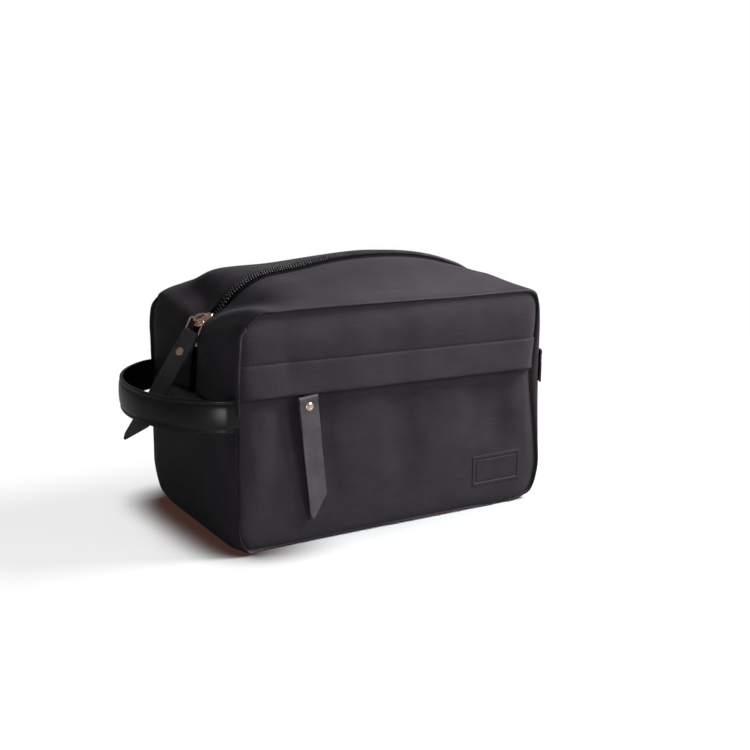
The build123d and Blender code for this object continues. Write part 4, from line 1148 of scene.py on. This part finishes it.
def patch_place(a, b):
    x, z = PATCH_X + PATCH_WIDE * a, PATCH_Z + PATCH_HIGH * b
    rim = min(PATCH_WIDE * min(a, 1 - a), PATCH_HIGH * min(b, 1 - b))
    slope = (pocket_depth(PATCH_X + PATCH_WIDE, z) - pocket_depth(PATCH_X, z)) * (a - 0.5) * 0.6
    relief = 0.25 * exp(-rim / 0.25) + 0.6 * hump(rim, 3.0, 0.45) + 0.1 * smooth(rim, 3.2, 4)
    return x, patch_base - 0.3 + slope + relief, z


def edges(width, marks):
    """Shares across a width, with lines at these distances from both edges."""
    near = [m / width for m in marks]
    middle_part = [near[-1] + (1 - 2 * near[-1]) * k / 8 for k in range(1, 8)]
    return near + middle_part + [1 - n for n in near[::-1]]


marks = [0, 0.15, 0.4, 1.0, 1.8, 2.3, 2.6, 2.8, 3.0, 3.2, 3.4, 3.7, 4.2]
patch = cloth("blank_patch", edges(PATCH_WIDE, marks), edges(PATCH_HIGH, marks), patch_place, thick=1.0)
finish(patch, patch_rubber, "bag_body", ["label_patch"])

# A short tab of the same cloth is folded flat over the right end's seam, under the pocket's zip.
# Two rows of stitches hold its upper part.
TAB_ROWS = {"upper": 108.5, "lower": 105.5}


def tab_place(y, z):
    drawn_in = sum(0.5 * hump(z, row, 0.6) for row in TAB_ROWS.values())
    return 126.5 - 2.4 * smooth(-y, 67.5, 71.6) - drawn_in + 0.25 * wander(0, y, z, 9, 2.0), y, z


tab = cloth("right_side_tab", [-71.6, -71.4, -70.6, -69.5, -68, -66, -63, -60, -57, -54.8, -54.4],
            [89, 89.3, 91, 94, 97, 100, 103, 104.5, 105, 105.5, 106, 107, 108, 108.5, 109, 110, 112, 112.8,
             113],
            tab_place, thick=1.3, middle=(0, 0, 100))
finish(tab, coated_nylon, "bag_body", stands_for=["side_tab"])
for name, z in TAB_ROWS.items():
    row = stitches(name + "_tab_stitches", 15,
                   lambda a, b, c: (tab_place(-54.8 - a, z)[0] + c + 0.1, -54.8 - a, z + b))
    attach(row, "bag_body")

# Behind the flap: the zip of the pocket with its two tapes and its coil, the folded edge above it that the
# stitches go through, and the facing on the flap's inner side.


def across(name, x0, x1, low, high, deep, material, slot, stands_for, thick):
    """A strip behind the flap from x0 to x1, from one height above the hem to another."""

    def at(x, share):
        z = hem_line(x) + low + (high - low) * share
        return x, deep(x, z), z

    spots = [x0 + (x1 - x0) * k / 50 for k in range(51)]
    strip = cloth(name, spots, [k / 6 for k in range(7)], at, thick=thick)
    finish(strip, material, "bag_body", [stands_for])


across("flap_facing", -121.0, 113.0, 1.2, 22.2, lambda x, z: upper_depth(x, z) + 1.35,
       coated_nylon, "shell_nylon", "pocket_flap_facing", 0.6)
across("pocket_edge_fold", -83.7, 100.2, 10.4, 19, lambda x, z: -71.2 + 0.3 * wander(x, 0, z, 15),
       coated_nylon, "shell_nylon", "pocket_seam_allowance", 2.2)
across("upper_pocket_tape", -83.8, 100.3, 6.6, 19, lambda x, z: -68.8,
       tape_weave, "zip_tape", "pocket_upper_tape", 0.6)
across("lower_pocket_tape", -84.2, 100.0, -7, 2.0,
       lambda x, z: -66.6 - 1.8 * smooth(z - hem_line(x), -3, 2),
       tape_weave, "zip_tape", "pocket_lower_tape", 0.5)
length, pitch = 183, 1.5
loops = repeated("pocket_zip_coil", int(length / pitch), pitch, (0.62, 2.4, 1.1),
                 lambda a, b, c: (-83.6 + a, -68.5 - c, 112.1 - 0.0223 * (a + 0.4) + b),
                 coil_nylon, segments=8)
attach(loops, "bag_body")
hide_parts("pocket_coil")

# Inside: the pocket's back, foam behind every wall, a board in the base and a smooth lining over all of it.
# The foam sheets are cut with rounded corners and stop below the top, so that its two halves can fold.
# Closed-cell foam, pale grey with fine pores
foam = grained("grey_foam", "#5b5b5e", "#77777a", 0.85, 0.8, 0.3, {"Specular IOR Level": 0.2}, 0.7)
# Pressed grey fibre board
fibre_board = grained("fibre_board", "#5d564c", "#7b7264", 0.8, 1.6, 0.2, {"Specular IOR Level": 0.25}, 0.6)
coat("base_board", fibre_board)


def panel(source, axis, material):
    """A soft sheet in place of a CAD node's flat one: it waves a little and its corners are rounded."""
    low, high = (Vector(v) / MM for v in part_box(source))
    mid, half = (low + high) / 2, (high - low) / 2
    a_axis, b_axis = (k for k in range(3) if k != axis)
    outer = low[axis] if mid[axis] < (0, 0, 80)[axis] else high[axis]
    way = 1 if outer > mid[axis] else -1
    deep = 2 * half[axis]

    def at(a, b):
        spot = [0, 0, 0]
        spot[a_axis] = mid[a_axis] + half[a_axis] * a * (1 - 0.09 * (a * b) ** 4)
        spot[b_axis] = mid[b_axis] + half[b_axis] * b * (1 - 0.09 * (a * b) ** 4)
        spot[axis] = outer - way * 0.25 * deep * max(abs(a), abs(b)) ** 12
        spot[axis] += 0.3 * wander(*spot, 35, 6.0)
        return spot

    run = [-1, -0.985] + [-0.95 + 1.9 * k / 20 for k in range(21)] + [0.985, 1]
    piece = cloth(source + "_sheet", run, run, at, thick=deep * 0.9)
    finish(piece, material, "bag_body", [source])


for source, axis in (("pocket_back_panel", 1), ("front_lining", 1), ("back_lining", 1), ("bottom_lining", 2),
                     ("left_end_lining", 0), ("right_end_lining", 0)):
    panel(source, axis, lining_cloth)
for source, axis in (("front_foam", 1), ("back_foam", 1), ("left_end_foam", 0), ("right_end_foam", 0)):
    panel(source, axis, foam)

bpy.context.view_layer.update()
size = {"cad": [list(cad_low), list(cad_high)], "scene": [list(v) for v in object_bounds()]}
